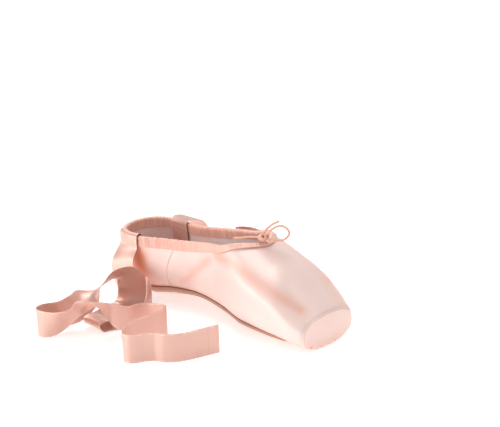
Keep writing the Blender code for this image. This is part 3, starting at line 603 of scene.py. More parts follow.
def cord_cloth(name, light, deep):
    """Braided cotton cord."""
    material, tree, shader = start_material(name, light, 0.62, Sheen_Weight=0.25)
    laid = laid_place(tree)
    ways = add(tree, "ShaderNodeSeparateXYZ", {0: laid}).outputs
    heights = []
    for sense in (1.0, -1.0):
        along = maths(tree, "MULTIPLY", ways[0], 5200.0)
        turn = maths(tree, "MULTIPLY_ADD", ways[1], 12.0 * math.pi * sense, along)
        heights.append(maths(tree, "SINE", turn))
    braid = maths(tree, "MAXIMUM", heights[0], heights[1])
    share = maths(tree, "MULTIPLY_ADD", braid, -0.35, 0.40)
    tree.links.new(mix(tree, share, light, deep), shader.inputs["Base Color"])
    bump(tree, shader, maths(tree, "MULTIPLY", braid, 0.10))
    return material


# Each satin's second colour is the deep colour that its tone mark mixes in, mostly as painted
# shade; lines without their own colour take it too.
SATIN = satin(
    "shoe_satin", (0.86, 0.655, 0.60), (0.78, 0.26, 0.14), 0.42, 0.00030, 0.016, SHOE_LINES)
CASING = satin("casing_satin", (0.80, 0.485, 0.40), (0.70, 0.21, 0.11), 0.48, 0.00030, 0.006)
RIBBON = satin(
    "ribbon_satin", (0.73, 0.445, 0.37), (0.62, 0.33, 0.255), 0.40, 0.00022, 0.020, RIBBON_LINES,
    metal=0.50,
)
LINING = plain_cloth("lining_cotton", (0.90, 0.76, 0.72), (0.76, 0.47, 0.42), 0.0007, 0.05)
INSOLE_CLOTH = plain_cloth("insole_cotton", (0.68, 0.61, 0.56), (0.50, 0.42, 0.37), 0.0008, 0.06)
SOLE_LEATHER = leather("sole_leather", (0.70, 0.43, 0.33), (0.44, 0.23, 0.16))
CORD = cord_cloth("drawstring_cotton", (0.93, 0.55, 0.42), (0.74, 0.28, 0.16))
THREAD = cord_cloth("sewing_thread", (0.93, 0.62, 0.50), (0.80, 0.40, 0.28))


# The upper, with its soft folds. Each fold has its side (-1 is the near one), half width and
# depth, then rows of a share of the length and a height on the side.
FOLD_ROWS = (
    # The long shallow trough down the side of the box, between its side and its top.
    (-1, 0.0055, -0.0008, (
        (0.56, 0.0630), (0.658, 0.0636), (0.791, 0.0555), (0.891, 0.0463), (0.955, 0.0370))),
    (-1, 0.0050, 0.0004, ((0.60, 0.0530), (0.70, 0.0520), (0.82, 0.0440), (0.90, 0.0360))),
    # The soft crease that climbs from the arch towards the casing.
    (-1, 0.0040, -0.0006, ((0.345, 0.0240), (0.384, 0.0292), (0.460, 0.0444), (0.520, 0.0560))),
    (-1, 0.0045, 0.0004, ((0.40, 0.0200), (0.45, 0.0290), (0.52, 0.0420))),
    (1, 0.0050, -0.0006, ((0.56, 0.0620), (0.68, 0.0620), (0.80, 0.0540), (0.90, 0.0450))),
    (1, 0.0042, -0.0005, ((0.36, 0.0220), (0.42, 0.0330), (0.50, 0.0500))),
    (1, 0.0050, 0.0003, ((0.24, 0.0200), (0.27, 0.0400))),
)
# Height and distance from the heel of the seam between heel and vamp.
SEAM_ROWS = (
    (0.0000, 0.0600),
    (0.0099, 0.0620),
    (0.0222, 0.0650),
    (0.0337, 0.0673),
    (0.0410, 0.0701),
    (0.0542, 0.0776),
    (0.0640, 0.0840),
)
PLEAT_COUNT = 30
PLEAT_DEPTH = 0.0007
PLEAT_CENTRE = 0.800
# Painted shade in the pleats' grooves.
PLEAT_GROOVE_SHADE = 0.70
# How much painted shade a trough gets, for each metre of its depth.
TROUGH_SHADE = 520.0


def fold_paths():
    paths = []
    for side, width, depth, rows in FOLD_ROWS:
        shares, heights = np.array(rows).T
        runs = run_of(shares)
        path = last_point(runs, angle_on_side(runs, heights))
        coarse = np.arange(len(path))
        fine = np.linspace(0.0, len(path) - 1.0, 24)
        path = np.stack([np.interp(fine, coarse, path[:, k]) for k in range(3)], axis=-1)
        paths.append((on_side(side, path), width, depth))
    return paths


def pleats(places):
    """Height, painted shade in the grooves, and share of the satin's pleats, fanned round the front
    of the sole.
    """
    ahead = places[..., 0] - PLEAT_CENTRE * SHOE_LENGTH
    turn = np.arctan2(places[..., 1], ahead + 0.004)
    wobble = 0.22 * np.sin(turn * 5.0 + 1.0) + 0.12 * np.sin(turn * 11.0)
    phase = (turn / math.pi * PLEAT_COUNT / 2 + wobble) % 1.0
    ridge = np.minimum(phase / 0.72, (1 - phase) / 0.28) - 0.5
    pleated = soft_step(0.0, 0.020, ahead) * (1 - soft_step(0.0060, 0.0125, places[..., 2]))
    return PLEAT_DEPTH * ridge * pleated, PLEAT_GROOVE_SHADE * pleated * (ridge < -0.30), pleated


FOLDS = fold_paths()


def relief(places, angle):
    """Soft troughs and ridges of the satin, and its tone: painted shade in troughs and pleat
    grooves, along the foot of the wall, on the far crown and beside the ribbon.
    """
    height = np.zeros(places.shape[:-1])
    tone = np.zeros(places.shape[:-1])
    for path, width, depth in FOLDS:
        part = np.exp(-(distance_to(path, places) / width) ** 2)
        height += depth * part
        if depth < 0:
            tone += TROUGH_SHADE * -depth * part
    pleat_height, pleat_groove_shade, pleated = pleats(places)
    height += pleat_height
    tone += pleat_groove_shade
    # Painted shade along the foot of the wall, less over the pleats, and on the far side's upper
    # crown; a deep painted shade on the near heel beside the ribbon, below the collar.
    tone += 0.60 * (1 - soft_step(-1.30, -0.50, angle)) * (1 - 0.4 * pleated)
    tone += 0.16 * soft_step(0.010, 0.024, places[..., 1]) * (angle > 0)
    heel_ribbon_shade = np.exp(-((places[..., 0] - 0.036) / 0.010) ** 2) * (places[..., 1] < 0)
    tone += 1.0 * heel_ribbon_shade * (1 - soft_step(0.040, 0.056, places[..., 2]))
    return height, np.clip(tone, 0.0, 1.0)


def even_runs(start, end, steps):
    return [start + (end - start) * k / steps for k in range(1, steps + 1)]


def fine_runs():
    """Sections that the wall's outside and inside share, up to the end of the window."""
    throat = float(run_of(THROAT_SHARE))
    cluster = float(run_of(THROAT_SHARE - 0.13))
    window_end = float(run_of(WINDOW_END))
    runs = [ROUND_PART * k / HEEL_STEPS for k in range(HEEL_STEPS + 1)]
    runs += even_runs(ROUND_PART, cluster, QUARTER_STEPS)
    for k in range(1, THROAT_STEPS + 1):
        runs.append(throat - (throat - cluster) * (1 - k / THROAT_STEPS) ** 2)
    for k in range(1, BALL_STEPS + 1):
        runs.append(throat + (window_end - throat) * (1 - (1 - k / BALL_STEPS) ** 1.5))
    return runs


def wall_columns(runs):
    """Angles, places on the cloth, places and outward directions of half the upper's sections."""
    angles, laid, places, normals = [], [], [], []
    for run in runs:
        row, length = row_angles(run, HALF_ROWS)
        angles.append(row)
        flat = np.linspace(0.0, length, HALF_ROWS)
        along = np.full(HALF_ROWS, run * SHOE_LENGTH * LAID_STRETCH)
        laid.append(np.stack((along, flat), axis=-1))
        places.append(last_point(run, row))
        normals.append(last_normal(max(run, 0.002), row))
    return np.array(angles), np.array(laid), np.array(places), np.array(normals)


def platform_columns(side, rim_angles):
    """The platform's soft edge and slightly bulging face, with their tones and seam marks; the
    tones hold painted shade in the pleats' grooves and towards the floor.
    """
    places, tones, folds = [], [], []
    for turn in np.arange(10, 91, 10):
        inset = PLATFORM_EDGE * (1 - math.cos(math.radians(turn)))
        reach = SHOE_LENGTH - PLATFORM_EDGE * (1 - math.sin(math.radians(turn)))
        column = on_side(side, last_point(1.0, rim_angles, inset, reach))
        pleat_height, pleat_groove_shade, _ = pleats(column)
        column[:, 2] -= pleat_height * (math.cos(math.radians(turn)) * 0.7 + 0.3)
        places.append(column)
        tones.append(pleat_groove_shade)
        folds.append(np.full(HALF_ROWS, (turn - 60) / 30 * PLATFORM_EDGE * 0.5))
    rim = places[-1]
    middle = (rim[0] + rim[-1]) / 2
    middle[1] = 0.0
    for scale in np.linspace(0.95, 0.0, 16):
        lift = np.array((PLATFORM_BULGE * (1 - scale ** 2), 0.0, 0.0))
        places.append(middle + (rim - middle) * scale + lift)
        # The face is a little deeper all over, with painted shade towards the floor.
        tones.append(0.10 + 0.30 * (1 - soft_step(0.004, 0.014, places[-1][:, 2])) * 0.5)
        folds.append(np.full(HALF_ROWS, 0.002 + (1 - scale) * 0.02))
    return np.array(places), np.array(tones), np.array(folds)


def hollow_columns(rim_angles):
    """The end of the hollow, round to the inner face of the platform."""
    places = []
    for turn in (0, 30, 60, 90):
        inset = BOX_WALL + HOLLOW_ROUND * (1 - math.cos(math.radians(turn)))
        reach = SHOE_LENGTH - PLATFORM_WALL - HOLLOW_ROUND * (1 - math.sin(math.radians(turn)))
        places.append(last_point(1.0, rim_angles, inset, reach))
    rim = places[-1]
    middle = (rim[0] + rim[-1]) / 2
    middle[1] = 0.0
    places += [middle + (rim - middle) * scale for scale in (0.75, 0.5, 0.25, 0.0)]
    return np.array(places)


def build_outer(cloth, runs, rim_angles):
    """The satin outside; returns its places on each side."""
    angles, laid, places, normals = wall_columns(runs)
    normals[0, :, 1] = 0.0
    normals[0] = unit(normals[0])
    rim = soft_step(0.0, 0.010, np.abs(angles - collar_limit(runs)[:, None]) * 0.03)
    outers = {}
    for side in (1, -1):
        spots = on_side(side, places)
        height, tone = relief(spots, angles)
        spots = spots + on_side(side, normals) * (height * rim)[..., None]
        seam = spots[..., 0] - smooth_value(SEAM_ROWS, 1, spots[..., 2])
        # The seam up the middle of the heel shares the platform line's mark.
        fold = np.where(spots[..., 0] < 0.020, np.abs(spots[..., 1]), 0.02)
        ends, end_tone, end_fold = platform_columns(side, rim_angles)
        end_laid = laid[-1][None] + np.stack(
            (np.arange(1, len(ends) + 1) * 0.0008, np.zeros(len(ends))), axis=-1)[:, None]
        outers[side] = np.concatenate((spots, ends))
        cloth.grid(
            outers[side], np.concatenate((laid, end_laid)), flip=side < 0,
            tone=np.concatenate((tone, end_tone)),
            seam=np.concatenate((seam, np.full(ends.shape[:2], 0.05))),
            fold=np.concatenate((fold, end_fold)),
        )
    return outers


def build_inner(cloth, runs, rim_angles):
    """The lining inside the wall; returns its places on each side."""
    _, laid, places, normals = wall_columns(runs)
    inner = places - normals * wall_at(share_of(np.array(runs)))[:, None, None]
    inner[0, :, 1] = 0.0
    ends = hollow_columns(rim_angles)
    inner = np.concatenate((inner, ends))
    laid = np.concatenate((laid, laid[-1][None] + np.zeros((len(ends), 1, 2))))
    inners = {}
    for side in (1, -1):
        inners[side] = on_side(side, inner)
        share = inners[side][..., 0] / SHOE_LENGTH
        # The lining is painted darker deep in the toe box, as shade in the recess, and darker
        # towards the heel.
        deep = soft_step(0.62, 0.90, share) * 0.2
        heel = (1 - soft_step(0.10, 0.45, share)) * 0.5
        cloth.grid(
            inners[side], laid, flip=side > 0, kind=1, tone=deep + heel, seam=0.05, fold=0.02)
    return inners


def build_upper():
    cloth = Cloth("tone", "seam", "fold")
    edge = float(run_of(1 - PLATFORM_EDGE / SHOE_LENGTH))
    stop = float(run_of(1 - (PLATFORM_WALL + PLATFORM_EDGE) / SHOE_LENGTH))
    shared = fine_runs()
    throat = shared.index(float(run_of(THROAT_SHARE)))
    opened = [k for k, run in enumerate(shared) if window_half(share_of(run)) > 0]
    rim_angles = row_angles(1.0, HALF_ROWS)[0]
    outers = build_outer(cloth, shared + even_runs(shared[-1], edge, OUTER_STEPS), rim_angles)
    inners = build_inner(cloth, shared + even_runs(shared[-1], stop, INNER_STEPS), rim_angles)
    # The wall's edges at the collar and round the open underside.
    for side in (1, -1):
        outer, inner = outers[side], inners[side]
        collar = np.stack((outer[:throat + 1, -1], inner[:throat + 1, -1]), axis=1)
        feet = np.stack((inner[:len(shared), 0], outer[:len(shared), 0]), axis=1)
        for strip in (collar, feet[opened[0] - 1:]):
            cloth.grid(strip, flip=side > 0, kind=1, seam=0.05, fold=0.02)
    return cloth.make("shoe_upper", [SATIN, LINING])


def collar_limit(runs):
    return np.array([float(collar_angle(run)) for run in runs])


def take_place(piece, *nodes):
    """The piece moves with the one body and replaces its nodes."""
    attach(piece, "root")
    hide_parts(*nodes)


take_place(build_upper(), "upper")


# The outsole and the insole.
def underside(share, width, lift):
    """Height of the upper's underside, or of the wall above it, off the middle line."""
    run = run_of(share)
    angle = angle_at_width(run, np.abs(width))
    slope = np.maximum(np.abs(last_normal(run, angle)[..., 2]), 0.45)
    return last_point(run, angle)[..., 2] + lift / slope


def sole_top(share, y):
    return underside(share, y, 0.0) - GAP * 1.6


def sole_bottom(share, y):
    """Flat on the ground at heel and ball, raised in the arch, thinned at its edge."""
    flat = smooth_value(LAST_ROWS, 2, np.minimum(share, 0.80)) - BASE
    flat = np.where(flat > ARCH_RISE * 0.067, flat, 0.0)
    edge = np.abs(y) / np.maximum(smooth_value(SOLE_ROWS, 1, share), 1e-6)
    rise = sole_top(share, y) - sole_top(share, np.zeros_like(y))
    lift = np.maximum(rise - SOLE_FLAT_RISE, 0.0) * 0.9
    return flat + lift + SOLE_EDGE_THINNING * soft_step(0.70, 1.0, edge)


def insole_bottom(share, y):
    return underside(share, y, wall_at(share) + GAP + INSOLE_EASE)


def insole_top(share, y):
    return insole_bottom(share, y) + INSOLE_THICKNESS


def build_slab(name, start, end, half_at, top_at, bottom_at, edge_round, material):
    """A thin slab with a softly rounded edge."""
    turns = np.linspace(0.0, 1.0, 150)
    shares = start + (end - start) * (0.5 - 0.5 * np.cos(turns * math.pi))
    across = np.sin(np.linspace(-1.0, 1.0, 41) * math.pi / 2)
    share, part = np.meshgrid(shares, across, indexing="ij")
    half = half_at(share)
    y = half * part
    top, bottom = top_at(share, y), bottom_at(share, y)
    inward = (1 - np.abs(part)) * half
    fillet = 1 - np.sqrt(np.clip(1 - (1 - np.clip(inward / edge_round, 0, 1)) ** 2, 0, 1))
    thick = (top - bottom) * 0.42
    x = share * SHOE_LENGTH
    laid = np.stack((x, y), axis=-1)
    tone = 0.5 * np.exp(-(inward / 0.0015) ** 2)
    upper_face = np.stack((x, y, top - thick * fillet), axis=-1)
    lower_face = np.stack((x, y, bottom + thick * fillet), axis=-1)
    slab = Cloth("tone")
    slab.grid(upper_face, laid, tone=tone)
    slab.grid(lower_face, laid, flip=True, tone=tone)
    for row, flip in ((0, False), (-1, True)):
        wall = np.stack((upper_face[:, row], lower_face[:, row]), axis=1)
        slab.grid(wall, flip=flip, tone=0.6)
    for column, flip in ((0, True), (-1, False)):
        wall = np.stack((upper_face[column], lower_face[column]), axis=0)
        slab.grid(wall, flip=flip, tone=0.6)
    return slab.make(name, [material])


take_place(build_slab(
    "leather_outsole", SOLE_START, SOLE_END, sole_half, sole_top, sole_bottom, 0.0012,
    SOLE_LEATHER,
), "outsole")
take_place(build_slab(
    "insole_sock", INSOLE_START, INSOLE_END, insole_half, insole_top, insole_bottom, 0.0008,
    INSOLE_CLOTH,
), "insole")


# The casing: a folded strip over the collar's edge, gathered by the drawstring inside it. Share of
# the length, and height of the gathers on the near and the far side.
GATHER_ROWS = (
    (0.00, 0.00050, 0.00060),
    (0.14, 0.00070, 0.00070),
    (0.40, 0.00055, 0.00070),
    (0.52, 0.00018, 0.00055),
    (0.64, 0.00012, 0.00050),
    (THROAT_SHARE, 0.00055, 0.00060),
)
GATHER_PITCH = 0.0034
STITCH_ROW, STITCH_LIFT = 2, 0.00002
CASING_COLUMNS = 620
CASING_CLOTH = 0.0200
# Shares of the casing's depth, from the hem up, and turns round its roll.
HEM_DEPTHS = (1.0, 0.97, 0.90, 0.80, 0.66, 0.52, 0.38, 0.26)
ROLL_DEGREES = (14, 38, 64, 90, 116, 142, 166)
# Share of the length and depth of the casing, which narrows towards the throat.
CASING_DEPTH_ROWS = (
    (0.00, 0.0076),
    (0.30, 0.0072),
    (0.46, 0.0067),
    (0.56, 0.0055),
    (0.66, 0.0043),
    (THROAT_SHARE, 0.0036),
)


def surface_walk(run, angle, heading, distance, steps=4):
    """Walk over the last's surface, always heading the same way in space."""
    h = 0.0008
    for _ in range(steps):
        along = (last_point(run + h, angle) - last_point(run - h, angle)) / (2 * h)
        around = (last_point(run, angle + h) - last_point(run, angle - h)) / (2 * h)
        normal = unit(np.cross(along, around))
        flat = heading - normal * np.sum(heading * normal, axis=-1, keepdims=True)
        move = unit(flat) * distance / steps
        aa, bb = np.sum(along * along, -1), np.sum(around * around, -1)
        ab = np.sum(along * around, -1)
        ma, mb = np.sum(move * along, -1), np.sum(move * around, -1)
        whole = aa * bb - ab * ab
        run = run + (ma * bb - mb * ab) / whole
        angle = angle + (mb * aa - ma * ab) / whole
    return run, angle


def rim_frames(count):
    """Evenly spaced places on half the collar's edge, with outward and downward directions."""
    throat, bend = float(run_of(THROAT_SHARE)), float(run_of(THROAT_SHARE - 0.10))
    fine = np.concatenate((
        np.linspace(0.0, bend, 900, endpoint=False),
        throat - (throat - bend) * np.linspace(1.0, 0.0, 900) ** 2,
    ))
    line = last_point(fine, collar_angle(fine))
    lengths = measured(line)
    runs = np.interp(np.linspace(0.0, lengths[-1], count), lengths, fine)
    runs[-1] = throat
    angles = collar_angle(runs)
    rim = last_point(runs, angles)
    before = np.concatenate((mirrored(rim[1:2]), rim[:-1]))
    after = np.concatenate((rim[1:], mirrored(rim[-2:-1])))
    tangent = unit(after - before)
    angles = np.minimum(angles, math.pi / 2 - 0.0005)
    out = last_normal(np.maximum(runs, 0.002), angles)
    out[0, 1] = out[-1, 1] = 0.0
    out = unit(out)
    down = unit(np.cross(out, tangent))
    return runs, angles, rim, out, down, np.linspace(0.0, lengths[-1], count)


def gather_wave(length, side):
    """Pinched gathers along the casing, from 0 in a pinch to 1 on a round."""
    warp = 0.42 * np.sin(length * 410.0 + side) + 0.55 * np.sin(length * 173.0 + 2.0 * side)
    warp = warp + 0.25 * np.sin(length * 930.0 + 3.0 * side)
    big = np.abs(np.sin(math.pi * (length / GATHER_PITCH + warp)))
    small = np.abs(np.sin(math.pi * (length / (GATHER_PITCH * 0.43) + 2.0 * warp)))
    return 0.72 * big ** 0.8 + 0.28 * small


def casing_profile(runs, angles, rim, out, down):
    """Skin, its outward ways and the back of half the casing, from its outer to its inner hem."""
    shares = share_of(runs)
    wall = wall_at(shares)[:, None]
    near = (GAP + THROAT_EASE * soft_step(0.54, 0.62, shares))[:, None]
    far = near + BINDING_THICKNESS
    reach = smooth_value(CASING_DEPTH_ROWS, 1, shares)
    spots, ways = [], []
    for depth in HEM_DEPTHS:
        there = surface_walk(runs, angles, down, (depth * reach)[:, None])
        spot = last_point(*there)
        way = last_normal(np.maximum(there[0], 0.002), there[1])
        spot[0, 1] = way[0, 1] = 0.0
        spots.append(spot)
        ways.append(unit(way))
    pairs = list(zip(spots, ways))
    # Up the outside, over the drawstring's roll and down the inside.
    skin = [spot + way * far for spot, way in pairs]
    push = list(ways)
    roll_half = (wall + far * 2 + 0.0008) / 2
    centre = rim - out * (wall / 2) + down * 0.0002
    for degrees in ROLL_DEGREES:
        c, s = math.cos(math.radians(degrees)), math.sin(math.radians(degrees))
        lift = out * (roll_half * c) - down * ((near + BINDING_ROLL) * s)
        skin.append(centre + lift)
        push.append(unit(out * c - down * s))
    for spot, way in pairs[::-1]:
        skin.append(spot - way * (wall + far))
        push.append(-way)
    back = [spot - way * (wall + near) for spot, way in pairs]
    back.append(rim - out * (wall + near) - down * near)
    back.append(rim + out * near - down * near)
    back += [spot + way * near for spot, way in pairs[::-1]]
    return np.stack(skin, axis=1), np.stack(push, axis=1), np.stack(back, axis=1)


def build_casing():
    runs, angles, rim, out, down, lengths = rim_frames(CASING_COLUMNS)
    shares = share_of(runs)
    skin, push, back = casing_profile(runs, angles, rim, out, down)
    rows = skin.shape[1]
    place = np.abs(np.linspace(-1.0, 1.0, rows))
    strength = np.clip(1.15 - place ** 2 * 0.75, 0.0, 1.0)
    stitched = np.exp(-((place - 0.87) / 0.05) ** 2)
    turns = np.array((0,) * len(HEM_DEPTHS) + ROLL_DEGREES + (180,) * len(HEM_DEPTHS))
    # The inside half of the casing gets painted shade, as it faces into the shoe.
    inside = np.where(turns > 115, 0.16, 0.0)
    casing = Cloth("tone", "seam")
    laid = np.stack(np.broadcast_arrays(
        lengths[:, None], np.linspace(0.0, CASING_CLOTH, rows)[None]), axis=-1)
    for side, column in ((-1, 1), (1, 2)):
        wave = gather_wave(lengths, float(side))[:, None]
        size = smooth_value(GATHER_ROWS, column, shares)[:, None]
        height = size * (wave - 0.35) * strength[None, :]
        height = height - 0.00018 * stitched[None, :]
        places = skin + push * height[..., None]
        places[0, :, 1] = 0.0
        places[-1, :, 1] = 0.0
        # Painted shade in the pinches of the gathers and in the stitched groove, less where the
        # gathers are small.
        tone = np.clip((0.62 - wave) * 1.25 * strength + 0.30 * stitched, 0.0, 1.0)
        tone = tone * np.clip(size / 0.0004, 0.2, 1.0) + inside
        used = on_side(side, places)
        behind = on_side(side, back)
        casing.grid(used, laid, flip=side < 0, tone=tone, seam=0.02)
        casing.grid(behind, flip=side < 0, tone=0.3, seam=0.02)
        for edge, way in ((0, False), (-1, True)):
            hem = np.stack((used[:, edge], behind[:, -1 - edge]), axis=1)
            casing.grid(hem, flip=(side < 0) != way, tone=0.6, seam=0.02)
    piece = casing.make("collar_casing", [CASING])
    # Lines for the stitches, outside and inside.
    lines = []
    for row in (STITCH_ROW, rows - 1 - STITCH_ROW):
        for side in (-1, 1):
            lines.append(on_side(side, skin[:, row] + push[:, row] * STITCH_LIFT))
    return piece, lines


CASING_PIECE, STITCH_LINES = build_casing()
take_place(CASING_PIECE, "collar_binding")


# Stitches that follow lines, by Geometry Nodes.
def make_stitch_tree():
    """Short thread capsules laid end to end along curves, a little apart."""
    tree = bpy.data.node_groups.new("thread_stitches", "GeometryNodeTree")
    face = tree.interface
    face.new_socket("Lines", in_out="INPUT", socket_type="NodeSocketGeometry")
    for label, start in (("Spacing", 0.0030), ("Stitch Length", 0.0022), ("Thread", 0.0004)):
        face.new_socket(label, in_out="INPUT", socket_type="NodeSocketFloat").default_value = start
    face.new_socket("Material", in_out="INPUT", socket_type="NodeSocketMaterial")
    face.new_socket("Stitches", in_out="OUTPUT", socket_type="NodeSocketGeometry")
    given, out = add(tree, "NodeGroupInput"), add(tree, "NodeGroupOutput")
    points = add(tree, "GeometryNodeCurveToPoints", {
        "Curve": given.outputs["Lines"], "Length": given.outputs["Spacing"],
    }, mode="LENGTH")
    turn = add(tree, "FunctionNodeAlignRotationToVector", {
        "Vector": points.outputs["Tangent"],
    }, axis="X")
    ball = add(tree, "GeometryNodeMeshIcoSphere", {"Radius": 0.5, "Subdivisions": 2})
    size = add(tree, "ShaderNodeCombineXYZ", {
        0: given.outputs["Stitch Length"], 1: given.outputs["Thread"], 2: given.outputs["Thread"],
    })
    laid = add(tree, "GeometryNodeInstanceOnPoints", {
        "Points": points.outputs["Points"], "Instance": ball.outputs["Mesh"],
        "Rotation": turn.outputs[0], "Scale": size.outputs[0],
    })
    real = add(tree, "GeometryNodeRealizeInstances", {"Geometry": laid.outputs[0]})
    smooth = add(tree, "GeometryNodeSetShadeSmooth", {"Geometry": real.outputs[0]})
    done = add(tree, "GeometryNodeSetMaterial", {
        "Geometry": smooth.outputs[0], "Material": given.outputs["Material"],
    })
    tree.links.new(done.outputs[0], out.inputs["Stitches"])
    return tree


STITCH_TREE = make_stitch_tree()


def sew(name, lines, material, spacing=0.0030, stitch=0.0022, thread=0.0004):
    """Stitches along lines of places, as one plain mesh."""
    curve = bpy.data.curves.new(name + "_lines", "CURVE")
    curve.dimensions = "3D"
    for line in lines:
        spline = curve.splines.new("POLY")
        spline.points.add(len(line) - 1)
        spline.points.foreach_set("co", np.c_[line - SHIFT, np.ones(len(line))].reshape(-1))
    guide = bpy.data.objects.new(name + "_lines", curve)
    bpy.context.scene.collection.objects.link(guide)
    modifier = guide.modifiers.new("stitches", "NODES")
    modifier.node_group = STITCH_TREE
    values = {
        "Spacing": spacing, "Stitch Length": stitch, "Thread": thread, "Material": material,
    }
    for item in STITCH_TREE.interface.items_tree:
        if item.in_out == "INPUT" and item.name in values:
            modifier[item.identifier] = values[item.name]
    bpy.context.view_layer.update()
    graph = bpy.context.evaluated_depsgraph_get()
    mesh = bpy.data.meshes.new_from_object(guide.evaluated_get(graph))
    mesh.name = name
    bpy.data.objects.remove(guide, do_unlink=True)
    piece = bpy.data.objects.new(name, mesh)
    bpy.context.scene.collection.objects.link(piece)
    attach(piece, "root")
    return piece


CASING_STITCHES = sew("casing_stitches", STITCH_LINES, THREAD)


# The ribbons. Rows as the solids have them: a depth below the collar and a distance out from the
# wall where the ribbon is sewn on, then places of its middle line and the way across it. A row of
# two numbers is a place where the ribbon stands on its edge.
ATTACHED_ROWS = (
    (0.022, -0.0034),
    (0.013, -0.0036),
    (0.008, -0.0039),
    (0.002, -0.0041),
    (-0.0018, -0.0043),
    (-0.0040, -0.0012),
    (-0.0028, 0.0024),
    (0.002, 0.0031),
    (0.009, 0.0030),
)
NEAR_SHARE = 0.105
NEAR_ROWS = (
    (0.0265, -0.0385, 0.0370, 0.97, 0.12, 0.0),
    (0.0290, -0.0405, 0.0265, 0.95, 0.22, 0.05),
    (0.0345, -0.0395, 0.0168, 0.68, 0.34, 0.60),
    (0.0430, -0.0355, 0.0129, 0.34, 0.14, 0.92),
    (0.0535, -0.0345, 0.0130, 0.20, 0.0, 0.98),
    (0.0625, -0.0430, 0.0118, 0.42, 0.10, 0.90),
    (0.0680, -0.0560, 0.0050, 0.93, 0.12, 0.34),
    (0.0690, -0.0720, 0.0014, 1.0, 0.0, 0.04),
    (0.0665, -0.0860, 0.0012, 0.99, -0.14, 0.03),
    (0.0640, -0.0960, 0.0018, 0.99, -0.16, 0.03),
    (0.0626, -0.1028, 0.0030, 0.99, -0.16, 0.0),
    (0.0616, -0.1056, 0.0062, 0.99, -0.16, 0.0),
    (0.0608, -0.1030, 0.0096, 0.99, -0.18, 0.0),
    (0.0594, -0.0950, 0.0090, 0.98, -0.20, 0.0),
    (0.0558, -0.0860, 0.0064, 0.97, -0.24, 0.02),
    (0.0490, -0.0750, 0.0046, 0.98, -0.20, 0.02),
    (0.0455, -0.0640, 0.0036, 0.99, -0.02, 0.02),
    (0.0445, -0.0540, 0.0034, 0.96, 0.28, 0.0),
    (0.0450, -0.0470, 0.0095, 0.66, 0.75, 0.0),
    (0.0455, -0.0455, 0.0190, 0.56, 0.83, 0.0),
    (0.0458, -0.0468, 0.0262, 0.66, 0.74, 0.06),
    (0.0445, -0.0525, 0.0335, 0.76, 0.34, 0.40),
    (0.0412, -0.0608, 0.0335, 0.66, -0.24, 0.62),
    (0.0378, -0.0680, 0.0290, 0.64, -0.50, 0.46),
    (0.0350, -0.0770, 0.0235, 0.70, -0.62, 0.20),
    (0.0345, -0.0880, 0.0190, 0.70, -0.46, -0.44),
    (0.0365, -0.1030, 0.0142, 0.32, -0.14, -0.93),
    (0.0348, -0.1185),
    (0.0290, -0.1350),
    (0.0330, -0.1425),
    (0.0410, -0.1420, 0.0128, -0.08, 0.06, -0.99),
    (0.0475, -0.1345, 0.0124, -0.24, 0.20, -0.94),
    (0.0490, -0.1245, 0.0138, -0.42, 0.36, -0.83),
    (0.0525, -0.1150, 0.0185, -0.54, 0.42, -0.72),
    (0.0610, -0.1105, 0.0262, -0.46, 0.62, -0.62),
    (0.0715, -0.1085, 0.0275, -0.50, 0.62, -0.58),
    (0.0800, -0.1015, 0.0240, -0.52, 0.36, -0.76),
    (0.0850, -0.0910, 0.0145, -0.20, 0.14, -0.97),
    (0.0925, -0.0785),
    (0.1010, -0.0705),
    (0.1100, -0.0665),
    (0.1165, -0.0690),
    (0.1180, -0.0780),
    (0.1168, -0.0920),
    (0.1170, -0.1070),
    (0.1210, -0.1195),
    (0.1270, -0.1275),
    (0.1335, -0.1300),
    (0.1395, -0.1260),
    (0.1435, -0.1180),
    (0.1485, -0.1125),
    (0.1560, -0.1095),
    (0.1635, -0.1030),
    (0.1690, -0.0920),
    (0.1730, -0.0800),
    (0.1770, -0.0665),
)
FAR_SHARE = 0.155
FAR_ROWS = (
    (0.0372, 0.0325, 0.0605, 1.0, 0.0, 0.0),
    (0.0378, 0.0385, 0.0590, 1.0, 0.0, 0.0),
    (0.0384, 0.0435, 0.0540, 1.0, 0.0, 0.0),
    (0.0388, 0.0465, 0.0470, 1.0, 0.0, 0.0),
    (0.0390, 0.0485, 0.0380, 1.0, 0.0, 0.05),
    (0.0405, 0.0500, 0.0290, 0.96, 0.0, 0.25),
    (0.0450, 0.0515, 0.0200, 0.80, 0.0, 0.60),
    (0.0530, 0.0525, 0.0142, 0.35, 0.0, 0.93),
    (0.0640, 0.0530),
    (0.0800, 0.0550),
    (0.0960, 0.0530),
    (0.1110, 0.0555),
    (0.1230, 0.0560),
    (0.1300, 0.0630),
    (0.1220, 0.0700),
    (0.1050, 0.0695),
    (0.0850, 0.0735),
    (0.0640, 0.0710),
    (0.0420, 0.0750),
    (0.0200, 0.0730),
    (0.0060, 0.0745),
    (-0.0010, 0.0815),
    (0.0070, 0.0885),
    (0.0250, 0.0900),
    (0.0450, 0.0870),
    (0.0660, 0.0900),
    (0.0860, 0.0875),
    (0.1010, 0.0890),
    (0.1080, 0.0960),
    (0.1000, 0.1030),
    (0.0820, 0.1050),
    (0.0630, 0.1020),
    (0.0440, 0.1055),
    (0.0270, 0.1050),
    (0.0200, 0.1120),
    (0.0280, 0.1190),
    (0.0440, 0.1195),
    (0.0560, 0.1175),
)
NEAR_COUNT, FAR_COUNT = 9, 6
RIBBON_STEP = 0.0012
RIBBON_HEM = 0.0100
RIBBON_COLUMNS = 17
STANDING_HEIGHT = 0.0129


